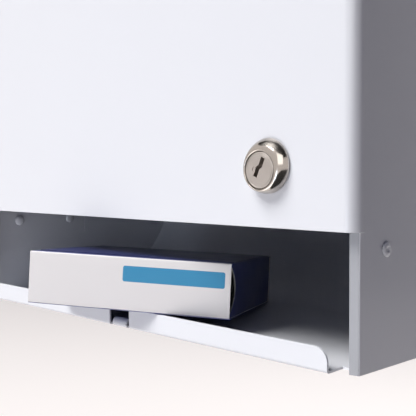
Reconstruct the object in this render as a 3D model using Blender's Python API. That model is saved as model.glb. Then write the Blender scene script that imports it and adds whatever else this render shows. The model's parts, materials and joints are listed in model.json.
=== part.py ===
# Sanitary napkin vending machine: a wall-hung coin-operated cabinet of enamelled sheet steel.
# X is to the right as seen from the front, Y runs into the wall and Z is up.
# The origin is on the back face, at the middle of its width and height.
# Most sizes below are counted from the door's front (depth) and from the underside (height).
import math

import bmesh
import bpy
from mathutils import Matrix, Vector

mm = 0.001

# Cabinet and sheet metal
cabinet_width = 270.4 * mm
cabinet_height = 622 * mm
machine_depth = 156 * mm
sheet = 1.0 * mm
gap = 0.3 * mm
front_edge_depth = 4.3 * mm
front_hem_width = 3.0 * mm
front_hem_slant = 0.9 * mm
rear_flange_width = 12 * mm
top_flange_height = 12 * mm
cut_overrun = 2 * mm
round_steps = 16
quarter_turn = 90

# Door
door_overlap = 1.3 * mm
door_bottom = 53.35 * mm
door_corner_radius = 5 * mm
door_return_depth = 6.5 * mm
door_hem_depth = 3.8 * mm
door_hem_end_gap = 10.5 * mm
bumper_radius = 4 * mm
bumper_thickness = 2.7 * mm
bumper_inset = 36.5 * mm

# Delivery tray
lip_proud = 0.9 * mm
lip_height = 9.85 * mm
lip_end_gap = 9.2 * mm
lip_corner_radius = 6 * mm
tray_bend_radius = 1.5 * mm
tray_floor_rise = 2.35 * mm
scoop_start_from_back = 67.6 * mm
scoop_radius = 59 * mm
scoop_top_height = 75 * mm
notch_x = -1.6 * mm
notch_width = 15.4 * mm
notch_corner_radius = 1.6 * mm
notch_depth = 1.5 * mm
tab_width = 10.6 * mm
tab_radius = 2.9 * mm
tab_root_depth = 6 * mm
tab_curl_end_angle = 100

# Fasteners and slots in the side walls
rivet_depths = (22.4 * mm, 60 * mm)
rivet_height = 45.95 * mm
rivet_shank_radius = 1.9 * mm
rivet_dome_radius = 3.2 * mm
rivet_dome_height = 1.6 * mm
rivet_foot_radius = 3.0 * mm
rivet_foot_height = 0.7 * mm
tab_slot_depth = 71 * mm
tab_slot_low = 36 * mm
tab_slot_high = 46.5 * mm

# Mounting holes in the back
mounting_hole_radius = 4 * mm
mounting_hole_spacing_x = 120 * mm
mounting_hole_from_bottom = 150 * mm
mounting_hole_from_top = 32 * mm

# Hinge
hinge_barrel_radius = 1.6 * mm
hinge_bore_radius = 1.15 * mm
hinge_pin_radius = 0.85 * mm
hinge_leaf_thickness = 0.8 * mm
hinge_leaf_width = 13 * mm
hinge_door_leaf_width = 5.5 * mm
hinge_knuckles = 11
hinge_end_gap = 4 * mm
pin_head_height = 1.2 * mm

# Lock
lock_from_edge = 42.45 * mm
lock_above_door_bottom = 23.0 * mm
bezel_radius = 11.1 * mm
bezel_shift_x = 1.3 * mm
bezel_shift_up = 1.7 * mm
bezel_height = 4.5 * mm
bezel_rim_height = 0.5 * mm
bezel_mouth_radius = 8.05 * mm
barrel_radius = 8.4 * mm
barrel_length = 20 * mm
plug_radius = 7.3 * mm
plug_recess = 0.25 * mm
keyway_width = 1.7 * mm
keyway_length = 8.6 * mm
keyway_rise = 1.2 * mm
keyway_turn = 24
keyway_depth = 5 * mm
keyway_notch_radius = 2 * mm
lock_nut_width = 25 * mm
lock_nut_thickness = 3 * mm
lock_nut_depth = 1.6 * mm
cam_thickness = 2.5 * mm
cam_length = 34 * mm
cam_half_width = 8 * mm
cam_screw_radius = 4 * mm
cam_screw_height = 2.5 * mm
strike_thickness = 2 * mm
strike_reach = 15 * mm
strike_height = 24 * mm
strike_foot_length = 14 * mm

# Cartons, magazine and ejector
carton_width = 101.7 * mm
space_behind_stack = 8.2 * mm
carton_height = 25.3 * mm
carton_count = 8
stack_front_depth = 62.5 * mm
shelf_below_knob = 26.6 * mm
shelf_ledge = 95.2 * mm
magazine_clearance = 0.6 * mm
magazine_below_top = 62 * mm
magazine_flange = 14 * mm
magazine_lift = 2 * mm
guide_setback = 5.0 * mm
pusher_thickness = 2 * mm
pusher_height = 23 * mm
pusher_short_of_back = 10.3 * mm
pusher_arm_width = 12 * mm
pusher_arm_low = 3 * mm
pusher_arm_high = 16 * mm
weight_thickness = 6 * mm
weight_margin = 2 * mm
weight_handle_radius = 2 * mm
weight_handle_span = 50 * mm
weight_handle_height = 20 * mm

# Dispensed carton, as it lies on the lip: centre and its turn, tip and roll
lying_centre_x = -6.9 * mm
lying_centre_depth = 27.9 * mm
lying_centre_height = 20.75 * mm
lying_turn = 29.24
lying_tip = -3.71
lying_roll = 1.98

# Coin mechanism
knob_from_wall = 74.2 * mm
knob_above_cup = 1.5 * mm
mechanism_plate_depth = 44 * mm
plate_below_housing = 15 * mm
plate_above_housing = 28 * mm
mechanism_plate_thickness = 1.5 * mm
housing_half_width = 30 * mm
housing_front_depth = 12 * mm
housing_wall = 1.5 * mm
face_half_width = 32 * mm
cup_above_face_low = 4.5 * mm
face_above_slot = 16.5 * mm
face_beyond_housing_low = 3 * mm
face_beyond_housing_high = 10 * mm
face_front_depth = -4 * mm
face_wall = 2.5 * mm
face_corner_radius = 6 * mm
door_window_clearance = 2.5 * mm
coin_slot_width = 2.6 * mm
coin_slot_length = 27 * mm
coin_slot_above_knob = 28.5 * mm
coin_track_height = 26 * mm
coin_track_half_width = 2.6 * mm
shaft_radius = 4 * mm
knob_turn = 270
knob_disc_radius = 20 * mm
knob_disc_thickness = 5 * mm
knob_grip_length = 36 * mm
knob_grip_width = 9 * mm
knob_grip_height = 13 * mm
grip_corner_share = 0.9
coin_drum_radius = 21 * mm
coin_drum_thickness = 5 * mm
coin_drum_depth = 19 * mm
coin_pocket_radius = 12.5 * mm
coin_pocket_rise = 19 * mm
coin_pocket_thickness = 2.6 * mm
spring_case_radius = 18 * mm
spring_case_depth = 28 * mm
spring_case_wall = 1.2 * mm
spring_strip = 0.6 * mm
spring_strip_width = 9 * mm
spring_turns = 3
pinion_teeth = 24
pinion_radius = 12 * mm
tooth_rise = 0.9 * mm
tooth_drop = 1.2 * mm
tooth_angle = 20
tooth_share = 0.86
gear_width = 6 * mm
gear_depth = 50.3 * mm
rack_height = 8 * mm
rack_end_allowance = 7 * mm
rack_guide_length = 70 * mm
rack_guide_side = 4.5 * mm
rack_guide_play = 0.5 * mm
rack_guide_end_gap = 3 * mm

# Coin return
return_lever_from_knob = 20 * mm
return_lever_above_knob = 56 * mm
return_lever_width = 8 * mm
return_lever_thickness = 5 * mm
return_lever_proud = 7 * mm
return_lever_travel = 8 * mm
return_lever_neck = 3.4 * mm
return_lever_slider_height = 14 * mm
return_lever_slider_thickness = 7 * mm
return_spring_radius = 2.6 * mm
return_spring_wire = 0.5 * mm
return_spring_turns = 6
return_spring_length = 16 * mm
spring_seat_height = 2 * mm
cup_half_width = 16 * mm
cup_height = 16 * mm
cup_wall = 1.2 * mm
cup_depth = 12 * mm
cup_lip = 4 * mm

# Coin box
chute_half_width = 12 * mm
chute_front_depth = 17 * mm
chute_back_depth = 38 * mm
chute_length = 25 * mm
chute_wall = 1 * mm
box_width = 98 * mm
box_from_wall = 22.2 * mm
box_front_depth = 12 * mm
box_back_depth = 55 * mm
box_above_cam = 11.65 * mm
box_height = 56 * mm
chute_above_box = 12 * mm
box_wall = 1 * mm
box_handle_radius = 1.6 * mm
box_handle_span = 40 * mm
box_handle_rise = 6 * mm
box_shelf_lip = 4 * mm
box_shelf_play = 0.8 * mm
baffle_depth = 58.8 * mm
baffle_low = 62 * mm
baffle_below_shelf = 18.4 * mm
baffle_from_shelf = 10 * mm

# Colours, with roughness and metallic value
finishes = {
    "white_enamel": ((0.86, 0.86, 0.88), 0.3, 0.0),
    "nickel": ((0.62, 0.59, 0.56), 0.28, 1.0),
    "zinc_steel": ((0.55, 0.56, 0.58), 0.4, 1.0),
    "brass": ((0.72, 0.55, 0.27), 0.35, 1.0),
    "chrome": ((0.75, 0.76, 0.78), 0.15, 1.0),
    "carton_board": ((0.84, 0.81, 0.79), 0.6, 0.0),
    "black_rubber": ((0.03, 0.03, 0.03), 0.8, 0.0),
}

half_outside = cabinet_width / 2
half_inside = half_outside - sheet
half_door = half_outside + door_overlap
tray_half_width = half_inside - gap
back_inside_depth = machine_depth - sheet
lock_x = half_door - lock_from_edge
lock_height = door_bottom + lock_above_door_bottom
hinge_x = -(half_outside + gap + hinge_barrel_radius)
hinge_depth = door_return_depth + gap + hinge_barrel_radius
knob_x = half_inside - knob_from_wall
box_right_x = half_inside - box_from_wall
box_left_x = box_right_x - box_width
box_low = lock_height + cam_length + box_above_cam
box_high = box_low + box_height
chute_low = box_high + chute_above_box
housing_low = chute_low + chute_length
face_low = housing_low - face_beyond_housing_low
cup_low = face_low + cup_above_face_low
cup_high = cup_low + cup_height
knob_height = cup_high - cup_lip + knob_above_cup + knob_disc_radius
coin_slot_height = knob_height + knob_disc_radius + coin_slot_above_knob + coin_slot_length / 2
return_lever_x = knob_x + return_lever_from_knob
return_lever_height = knob_height + return_lever_above_knob
face_high = coin_slot_height + coin_slot_length / 2 + face_above_slot
housing_high = face_high - face_beyond_housing_high
mechanism_plate_low = housing_low - plate_below_housing
mechanism_plate_high = housing_high + plate_above_housing
spring_case_length = mechanism_plate_depth - gap - spring_case_depth
stack_left_x = -half_inside + guide_setback
shelf_end_x = stack_left_x + shelf_ledge
shelf_height = knob_height - shelf_below_knob
magazine_top = cabinet_height - magazine_below_top
baffle_high = shelf_height - baffle_below_shelf
baffle_left_x = shelf_end_x + baffle_from_shelf
next_carton_top = shelf_height + gap + carton_height
rack_pitch_height = knob_height + pinion_radius
stack_right_x = stack_left_x + carton_width
# The cartons are as deep as the machine leaves room for behind the coin mechanism.
stack_back_depth = back_inside_depth - space_behind_stack
carton_depth = stack_back_depth - stack_front_depth
scoop_start_depth = machine_depth - scoop_start_from_back


def world(x, depth, height):
    """Turns a place counted from the door's front and the underside into the part's own frame."""
    return Vector((x, depth - machine_depth, height - cabinet_height / 2))


def finish(name):
    found = bpy.data.materials.get(name)
    if found:
        return found
    colour, roughness, metallic = finishes[name]
    made = bpy.data.materials.new(name)
    made.use_nodes = True
    shader = made.node_tree.nodes["Principled BSDF"]
    shader.inputs["Base Color"].default_value = (*colour, 1.0)
    shader.inputs["Roughness"].default_value = roughness
    shader.inputs["Metallic"].default_value = metallic
    made.diffuse_color = (*colour, 1.0)
    return made


def add_object(name, mesh_maker, material, smooth=False):
    """Makes one object from a bmesh, with its faces pointing out."""
    bmesh.ops.recalc_face_normals(mesh_maker, faces=mesh_maker.faces)
    mesh = bpy.data.meshes.new(name)
    mesh_maker.to_mesh(mesh)
    mesh_maker.free()
    if smooth:
        mesh.shade_smooth()
        mesh.set_sharp_from_angle(angle=math.radians(35))
    made = bpy.data.objects.new(name, mesh)
    made.data.materials.append(finish(material))
    bpy.context.scene.collection.objects.link(made)
    return made


def prism(name, outline, axis, low, high, material):
    """An outline drawn across one axis, and drawn out along it from low to high.

    Across X the outline holds (depth, height), across Y (x, height) and across Z (x, depth).
    """
    place = {
        "X": lambda a, b, along: world(along, a, b),
        "Y": lambda a, b, along: world(a, along, b),
        "Z": lambda a, b, along: world(a, b, along),
    }[axis]
    maker = bmesh.new()
    ends = [[maker.verts.new(place(a, b, along)) for a, b in outline] for along in (low, high)]
    maker.faces.new(ends[0])
    maker.faces.new(ends[1])
    for i in range(len(outline)):
        j = (i + 1) % len(outline)
        maker.faces.new((ends[0][i], ends[0][j], ends[1][j], ends[1][i]))
    return add_object(name, maker, material)


def block(name, x_range, depth_range, height_range, material):
    (a, b), (c, d) = x_range, height_range
    return prism(name, [(a, c), (b, c), (b, d), (a, d)], "Y", *depth_range, material)


def turned(name, profile, centre, axis, material, steps=round_steps):
    """A closed profile of (radius, distance) points turned about an axis through centre."""
    along = {"X": Vector((1, 0, 0)), "Y": Vector((0, 1, 0)), "Z": Vector((0, 0, 1))}[axis]
    side = Vector((0, 0, 1)) if axis == "X" else Vector((1, 0, 0))
    other = along.cross(side)
    maker = bmesh.new()
    rings = []
    for radius, distance in profile:
        middle = centre + along * distance
        if radius == 0:
            rings.append([maker.verts.new(middle)])
            continue
        ring = []
        for i in range(steps):
            angle = 2 * math.pi * (i + 0.5) / steps
            ring.append(maker.verts.new(middle + (side * math.cos(angle) + other * math.sin(angle)) * radius))
        rings.append(ring)
    closed = all(radius > 0 for radius, _ in profile)
    for k in range(len(rings) if closed else len(rings) - 1):
        first, second = rings[k], rings[(k + 1) % len(rings)]
        for i in range(steps):
            j = (i + 1) % steps
            corners = [first[i % len(first)], first[j % len(first)],
                       second[j % len(second)], second[i % len(second)]]
            corners = list(dict.fromkeys(corners))
            if len(corners) > 2:
                maker.faces.new(corners)
    return add_object(name, maker, material, smooth=True)


def disc(name, radius, centre, axis, low, high, material, steps=round_steps):
    return turned(name, [(0, low), (radius, low), (radius, high), (0, high)], centre, axis, material, steps)


def arc(centre, radius, start, end, steps):
    """Points on an arc, in degrees from the first axis of the outline."""
    points = []
    for i in range(steps + 1):
        angle = math.radians(start + (end - start) * i / steps)
        points.append((centre[0] + radius * math.cos(angle), centre[1] + radius * math.sin(angle)))
    return points


def folded(path, thickness):
    """The section of a bent sheet: its outer path, and the same path set in to the left."""
    inner = []
    for i, point in enumerate(path):
        here = Vector(point)
        before = (here - Vector(path[i - 1])).normalized() if i else None
        after = (Vector(path[i + 1]) - here).normalized() if i + 1 < len(path) else None
        sides = [Vector((-way.y, way.x)) for way in (before, after) if way is not None]
        middle = sum(sides, Vector((0, 0))).normalized()
        inner.append(tuple(here + middle * (thickness / middle.dot(sides[0]))))
    return list(path) + inner[::-1]


def work_with(target, other, operation):
    """Cuts or joins one object with another, which is then only a guide."""
    step = target.modifiers.new(other.name, "BOOLEAN")
    step.operation = operation
    step.solver = "EXACT"
    step.object = other
    other.hide_render = True
    other.display_type = "WIRE"
    return target


def cut(target, *cutters):
    for cutter in cutters:
        work_with(target, cutter, "DIFFERENCE")
    return target


def join(target, *others):
    for other in others:
        work_with(target, other, "UNION")
    return target


def tube(name, points, radius, material, sides=8):
    """A round bar along a few points, mitred at each, with flat ends."""
    maker = bmesh.new()
    rings = []
    for i, point in enumerate(points):
        back = (point - points[i - 1]).normalized() if i else None
        ahead = (points[i + 1] - point).normalized() if i + 1 < len(points) else None
        way = ((back or ahead) + (ahead or back)).normalized()
        across = Vector((0, 1, 0)) if abs(way.y) < 0.9 else Vector((1, 0, 0))
        first = way.cross(across).normalized()
        second = way.cross(first)
        stretch = 1 / max(way.dot(back or ahead), 0.3)
        ring = []
        for k in range(sides):
            angle = 2 * math.pi * (k + 0.5) / sides
            offset = first * math.cos(angle) * stretch + second * math.sin(angle)
            ring.append(maker.verts.new(point + offset * radius))
        rings.append(ring)
    for a, b in zip(rings, rings[1:]):
        for k in range(sides):
            maker.faces.new((a[k], a[(k + 1) % sides], b[(k + 1) % sides], b[k]))
    maker.faces.new(rings[0])
    maker.faces.new(rings[-1])
    return add_object(name, maker, material, smooth=True)


def set_origin(made, point):
    """Moves an object's origin onto its joint's axis, and leaves the shape where it is."""
    made.data.transform(Matrix.Translation(-point))
    made.location = point


# Cabinet


def back_panel():
    made = block("back_panel", (-half_outside, half_outside), (back_inside_depth, machine_depth),
                 (0, cabinet_height), "white_enamel")
    for i, height in enumerate((mounting_hole_from_bottom, cabinet_height - mounting_hole_from_top)):
        for side in (-1, 1):
            centre = world(side * mounting_hole_spacing_x / 2, machine_depth, height)
            cut(made, disc(f"mounting_hole_cut_{i}_{side}", mounting_hole_radius, centre, "Y",
                           -sheet - cut_overrun, cut_overrun, "zinc_steel", 12))


def side_panel(name, side):
    """A side wall with a slanted hem along its front edge and a flange along its back edge."""
    front, back = front_edge_depth, back_inside_depth - gap
    outer, inner = half_outside, half_outside - sheet
    outline = [
        (outer, front + front_hem_slant), (outer, back), (inner - rear_flange_width, back),
        (inner - rear_flange_width, back - sheet), (inner, back - sheet),
        (inner, front + front_hem_slant + sheet), (inner - front_hem_width, front + sheet),
        (inner - front_hem_width, front),
    ]
    made = prism(name, [(side * x, depth) for x, depth in outline], "Z", 0, cabinet_height - sheet - gap,
                 "white_enamel")
    for i, depth in enumerate(rivet_depths):
        centre = world(side * half_outside, depth, rivet_height)
        cut(made, disc(f"{name}_rivet_cut_{i}", rivet_shank_radius + gap, centre, "X", -cut_overrun,
                       cut_overrun, "zinc_steel", 12))
    walls = sorted((side * (inner - cut_overrun), side * (outer + cut_overrun)))
    slot = block(f"{name}_slot_cut", walls, (tab_slot_depth, tab_slot_depth + sheet),
                 (tab_slot_low, tab_slot_high), "zinc_steel")
    cut(made, slot)


def top_panel():
    """The lid of the cabinet, with a flange down behind the door."""
    top = cabinet_height
    front, back = front_edge_depth, back_inside_depth - gap
    path = [(front, top - top_flange_height), (front, top), (back, top)]
    section = folded(path[::-1], sheet)
    made = prism("top_panel", section, "X", -half_outside, half_outside, "white_enamel")
    for side in (-1, 1):
        ends = sorted((side * (half_inside - front_hem_width - gap), side * (half_outside + cut_overrun)))
        cut(made, block(f"top_flange_cut_{side}", ends, (front - cut_overrun, front + sheet + gap),
                        (top - top_flange_height - cut_overrun, top - sheet), "white_enamel"))


def delivery_tray():
    """Lip, floor and scoop in one bent sheet, with the notch and its curled tab."""
    front = -lip_proud
    bend = arc((front + tray_bend_radius, tray_bend_radius), tray_bend_radius, 180, 270, 3)
    outer_radius = scoop_radius + sheet
    turn_up = arc((scoop_start_depth, tray_floor_rise + outer_radius), outer_radius, 270, 360, 10)
    scoop_back = turn_up[-1][0]
    path = [(front, lip_height), *bend, *turn_up, (scoop_back, scoop_top_height),
            (back_inside_depth - sheet - 2 * gap, scoop_top_height)]
    made = prism("delivery_tray", folded(path, sheet), "X", -tray_half_width, tray_half_width, "white_enamel")
    lip_end = half_inside - lip_end_gap
    for side in (-1, 1):
        corner = arc((lip_end - lip_corner_radius, lip_height - lip_corner_radius), lip_corner_radius,
                     90, 0, 4)
        outline = [(lip_end - lip_corner_radius, lip_height + cut_overrun), *corner, (lip_end, -cut_overrun),
                   (half_outside, -cut_overrun), (half_outside, lip_height + cut_overrun)]
        cut(made, prism(f"lip_end_cut_{side}", [(side * x, z) for x, z in outline], "Y", front - cut_overrun,
                        front_edge_depth + front_hem_slant + sheet + gap, "white_enamel"))
    half = notch_width / 2
    flare = half + notch_corner_radius
    shoulders = [arc((side * flare, lip_height - notch_corner_radius), notch_corner_radius,
                     90, 90 + side * 90, 3) for side in (1, -1)]
    outline = [(-half, -cut_overrun), (half, -cut_overrun), *shoulders[0][::-1],
               (flare, lip_height + cut_overrun), (-flare, lip_height + cut_overrun), *shoulders[1]]
    cut(made, prism("notch_cut", [(notch_x + x, z) for x, z in outline], "Y", front - cut_overrun,
                    notch_depth, "white_enamel"))
    curl = arc((front + tab_radius, tray_bend_radius), tab_radius, tab_curl_end_angle, 180, 6)
    section = folded([*curl, *bend[1:], (tab_root_depth, 0)], sheet)
    join(made, prism("tab_guide", section, "X", notch_x - tab_width / 2, notch_x + tab_width / 2,
                     "white_enamel"))


def wall_rivets(name, side):
    """Domed rivets through a side wall, dome inside and flat head outside."""
    outside = half_outside + gap
    inside = half_inside - gap
    for i, depth in enumerate(rivet_depths):
        profile = [(0, outside + rivet_foot_height), (rivet_foot_radius, outside + rivet_foot_height),
                   (rivet_foot_radius, outside), (rivet_shank_radius, outside), (rivet_shank_radius, inside),
                   (rivet_dome_radius, inside)]
        for share in (0.5, 0.85):
            angle = math.radians(quarter_turn * share)
            profile.append((rivet_dome_radius * math.cos(angle),
                            inside - rivet_dome_height * math.sin(angle)))
        profile.append((0, inside - rivet_dome_height))
        profile = [(radius, side * distance) for radius, distance in profile]
        turned(f"{name}_{i + 1}", profile, world(0, depth, rivet_height), "X", "white_enamel", 12)


# Hinge


def knuckle_span(index):
    """Lowest and highest point of one hinge knuckle."""
    low = door_bottom + hinge_end_gap
    high = cabinet_height - hinge_end_gap
    pitch = (high - low) / hinge_knuckles
    return low + pitch * index + gap / 2, low + pitch * (index + 1) - gap / 2


def knuckle_ring(name, index):
    low, high = knuckle_span(index)
    profile = [(hinge_bore_radius, 0), (hinge_barrel_radius, 0), (hinge_barrel_radius, high - low),
               (hinge_bore_radius, high - low)]
    return turned(name, profile, world(hinge_x, hinge_depth, low), "Z", "zinc_steel", 10)


def hinge_leaf(name, first, plate_x, plate_depths, bridge_depths):
    """One leaf of the hinge: a plate, and a bridge and knuckle at every second place."""
    low, high = knuckle_span(0)[0], knuckle_span(hinge_knuckles - 1)[1]
    made = block(name, plate_x, plate_depths, (low, high), "zinc_steel")
    for index in range(first, hinge_knuckles, 2):
        join(made, block(f"{name}_bridge_{index}", plate_x, bridge_depths, knuckle_span(index), "zinc_steel"),
             knuckle_ring(f"{name}_knuckle_{index}", index))
    return made


def hinges():
    leaf_x = (-(half_outside + gap + hinge_leaf_thickness), -(half_outside + gap))
    clear = hinge_barrel_radius + gap
    hinge_leaf("hinge_leaf_cabinet", 0, leaf_x, (hinge_depth + clear, hinge_depth + hinge_leaf_width),
               (hinge_depth + hinge_bore_radius / 2, hinge_depth + clear + sheet))
    leaf_x = (-(half_door + gap + hinge_leaf_thickness), -(half_door + gap))
    wall = (hinge_bore_radius + hinge_barrel_radius) / 2
    made = hinge_leaf("hinge_leaf_door", 1, leaf_x,
                      (hinge_depth - clear - hinge_door_leaf_width, hinge_depth - clear),
                      (hinge_depth - clear - sheet, hinge_depth - wall))
    set_origin(made, world(hinge_x, hinge_depth, 0))
    low, high = knuckle_span(0)[0], knuckle_span(hinge_knuckles - 1)[1]
    top = high - low + gap
    profile = [(0, -gap), (hinge_pin_radius, -gap), (hinge_pin_radius, top), (hinge_barrel_radius, top),
               (hinge_barrel_radius, top + pin_head_height), (0, top + pin_head_height)]
    turned("hinge_pin", profile, world(hinge_x, hinge_depth, low), "Z", "zinc_steel", 10)


# Door


def rounded_rectangle(low, high, radius, steps=4):
    """Corner points of a rectangle with round corners, counter-clockwise."""
    (left, bottom), (right, top) = low, high
    corners = [(right - radius, bottom + radius), (right - radius, top - radius),
               (left + radius, top - radius), (left + radius, bottom + radius)]
    points = []
    for i, centre in enumerate(corners):
        start = quarter_turn * (i - 1)
        points += arc(centre, radius, start, start + quarter_turn, steps)
    return points


def door_panel():
    """A pan of sheet steel: round vertical edges, returns over the cabinet and hems above and below."""
    radius = door_corner_radius
    left = arc((-half_door + radius, radius), radius, 180, 270, 5)
    right = arc((half_door - radius, radius), radius, 270, 360, 5)
    path = [(-half_door, door_return_depth), *left, *right, (half_door, door_return_depth)]
    made = prism("door_panel", folded(path, sheet), "Z", door_bottom, cabinet_height, "white_enamel")
    half_hem = half_door - door_hem_end_gap
    for i, low in enumerate((door_bottom, cabinet_height - sheet)):
        join(made, block(f"door_hem_{i}", (-half_hem, half_hem), (sheet / 2, door_hem_depth),
                         (low, low + sheet), "white_enamel"))
    cut(made, disc("lock_hole_cut", barrel_radius + gap, world(lock_x, 0, lock_height), "Y",
                   -cut_overrun, sheet + cut_overrun, "white_enamel", 24))
    clear = door_window_clearance
    window = rounded_rectangle((knob_x - face_half_width - clear, face_low - clear),
                               (knob_x + face_half_width + clear, face_high + clear),
                               face_corner_radius + clear)
    cut(made, prism("mechanism_window_cut", window, "Y", -cut_overrun, sheet + cut_overrun, "white_enamel"))
    set_origin(made, world(hinge_x, hinge_depth, 0))


def door_bumpers():
    """Rubber buttons that meet the top panel's flange."""
    height = cabinet_height - top_flange_height / 2
    for name, side in (("left", -1), ("right", 1)):
        centre = world(side * (half_door - bumper_inset), sheet + gap, height)
        made = disc(f"door_bumper_{name}", bumper_radius, centre, "Y", 0, bumper_thickness, "black_rubber",
                    12)
        set_origin(made, world(hinge_x, hinge_depth, 0))


# Lock


def lock_body():
    """Domed bezel and barrel, bored for the plug, with the bezel's rim off the plug's centre."""
    bore = plug_radius + gap
    dome = []
    for share in (0.0, 0.3, 0.6, 0.85, 1.0):
        angle = math.radians(quarter_turn * share)
        reach = bezel_radius - bezel_mouth_radius
        rise = bezel_height - bezel_rim_height
        dome.append((bezel_mouth_radius + reach * math.cos(angle),
                     -gap - bezel_rim_height - rise * math.sin(angle)))
    profile = [(bore, barrel_length), (barrel_radius, barrel_length), (barrel_radius, -gap),
               (bezel_radius, -gap), *dome, (bore, -bezel_height + plug_recess)]
    centre = world(lock_x, 0, lock_height)
    made = turned("lock_body", profile, centre, "Y", "nickel", 32)
    for vert in made.data.vertices:
        away = math.hypot(vert.co.x - centre.x, vert.co.z - centre.z)
        share = (away - bezel_mouth_radius) / (bezel_radius - bezel_mouth_radius)
        if share > 0 and vert.co.y < centre.y:
            vert.co.x += share * bezel_shift_x
            vert.co.z += share * bezel_shift_up
    set_origin(made, world(hinge_x, hinge_depth, 0))


def lock_nut():
    """Six-sided nut that clamps the barrel behind the door."""
    outline = arc((lock_x, lock_height), lock_nut_width / 2, 0, 300, 5)
    back = lock_nut_depth + lock_nut_thickness
    made = prism("lock_nut", outline, "Y", lock_nut_depth, back, "zinc_steel")
    cut(made, disc("nut_bore_cut", barrel_radius + gap, world(lock_x, 0, lock_height), "Y",
                   lock_nut_depth - cut_overrun, back + cut_overrun, "zinc_steel", 24))
    set_origin(made, world(hinge_x, hinge_depth, 0))


def lock_plug():
    """The part the key turns, with its kinked slot."""
    front = -bezel_height + plug_recess
    centre = world(lock_x, 0, lock_height)
    made = disc("lock_plug", plug_radius, centre, "Y", front, barrel_length + gap, "nickel", 32)
    half_w, half_l = keyway_width / 2, keyway_length / 2
    turn = -math.radians(keyway_turn)
    outline = []
    for x, z in ((-half_w, -half_l), (half_w, -half_l), (half_w, half_l), (-half_w, half_l)):
        outline.append((lock_x + x * math.cos(turn) - z * math.sin(turn),
                        lock_height + keyway_rise + x * math.sin(turn) + z * math.cos(turn)))
    slot = prism("keyway_cut", outline, "Y", front - cut_overrun, front + keyway_depth, "nickel")
    bite_centre = world(lock_x - half_w * math.cos(turn), 0,
                        lock_height + keyway_rise - half_w * math.sin(turn))
    bite = disc("keyway_bite_cut", keyway_notch_radius, bite_centre, "Y", front - cut_overrun,
                front + keyway_depth, "nickel", 12)
    cut(made, slot, bite)
    set_origin(made, centre)


def lock_cam():
    """A flat cam, up when the lock is open and across behind the strike when it is turned."""
    low = barrel_length + 2 * gap
    outline = arc((lock_x, lock_height), cam_half_width, 180, 360, 8)
    tip = lock_height + cam_length
    outline += [(lock_x + cam_half_width, tip), (lock_x - cam_half_width, tip)]
    made = prism("lock_cam", outline, "Y", low, low + cam_thickness, "zinc_steel")
    set_origin(made, world(lock_x, 0, lock_height))
    head = low + cam_thickness + gap
    screw = disc("cam_screw", cam_screw_radius, world(lock_x, 0, lock_height), "Y", head,
                 head + cam_screw_height, "zinc_steel", 12)
    set_origin(screw, world(lock_x, 0, lock_height))


def lock_strike():
    """Angle bracket on the right wall that the cam turns in behind."""
    wall = half_inside - gap
    front = barrel_length + 2 * gap - gap - strike_thickness
    path = [(wall - strike_reach, front), (wall, front), (wall, front + strike_foot_length)]
    prism("lock_strike", folded(path, strike_thickness), "Z", lock_height - strike_height / 2,
          lock_height + strike_height / 2, "zinc_steel")


# Magazine


def magazine():
    """Shelf, side guides and back guide of the carton column."""
    wall = -half_inside + gap
    rear = stack_back_depth + gap + sheet
    path = [(wall, shelf_height - 2 * magazine_flange), (wall, shelf_height), (shelf_end_x, shelf_height)]
    shelf = prism("magazine_shelf", folded(path[::-1], sheet), "Y", stack_front_depth - sheet, rear,
                  "zinc_steel")
    back = block("shelf_back_flange", (wall + sheet / 2, shelf_end_x),
                 (rear - sheet, back_inside_depth - sheet - 2 * gap), (shelf_height - sheet, shelf_height),
                 "zinc_steel")
    join(shelf, back)
    bottom = next_carton_top + magazine_lift
    front = stack_front_depth - magazine_clearance - sheet
    left = stack_left_x - gap
    path = [(wall, stack_back_depth), (left - sheet, stack_back_depth), (left - sheet, front),
            (left + magazine_flange, front)]
    prism("magazine_left_guide", folded(path, sheet), "Z", bottom, magazine_top, "zinc_steel")
    right = stack_right_x + magazine_clearance
    rear = back_inside_depth - gap
    outline = [(right - magazine_flange, front), (right + sheet, front), (right + sheet, rear - sheet),
               (right + magazine_flange, rear - sheet), (right + magazine_flange, rear), (right, rear),
               (right, front + sheet), (right - magazine_flange, front + sheet)]
    prism("magazine_partition", outline, "Z", bottom, magazine_top, "zinc_steel")
    middle = (stack_left_x + stack_right_x) / 2
    crown = stack_back_depth + magazine_clearance
    foot = rear - sheet
    hat = [(middle - 2 * magazine_flange, foot), (middle - magazine_flange, foot),
           (middle - magazine_flange, crown), (middle + magazine_flange, crown),
           (middle + magazine_flange, foot), (middle + 2 * magazine_flange, foot)]
    prism("magazine_back_guide", folded(hat, sheet), "Z", bottom, magazine_top, "zinc_steel")


def carton(name, low):
    return block(name, (stack_left_x, stack_right_x), (stack_front_depth, stack_back_depth),
                 (low, low + carton_height), "carton_board")


def cartons():
    carton("next_carton", shelf_height + gap)
    for i in range(carton_count):
        carton(f"stock_carton_{i + 1}", next_carton_top + gap + i * (carton_height + gap))


def dispensed_carton():
    """The carton that has dropped into the tray and lies on the lip."""
    maker = bmesh.new()
    bmesh.ops.create_cube(maker, size=1)
    bmesh.ops.scale(maker, vec=(carton_width, carton_depth, carton_height), verts=maker.verts)
    made = add_object("dispensed_carton", maker, "carton_board")
    turn = Matrix.Rotation(math.radians(lying_turn), 4, "Z")
    tip = Matrix.Rotation(math.radians(lying_tip), 4, "X")
    roll = Matrix.Rotation(math.radians(lying_roll), 4, "Y")
    place = Matrix.Translation(world(lying_centre_x, lying_centre_depth, lying_centre_height))
    made.matrix_world = place @ turn @ tip @ roll


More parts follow.
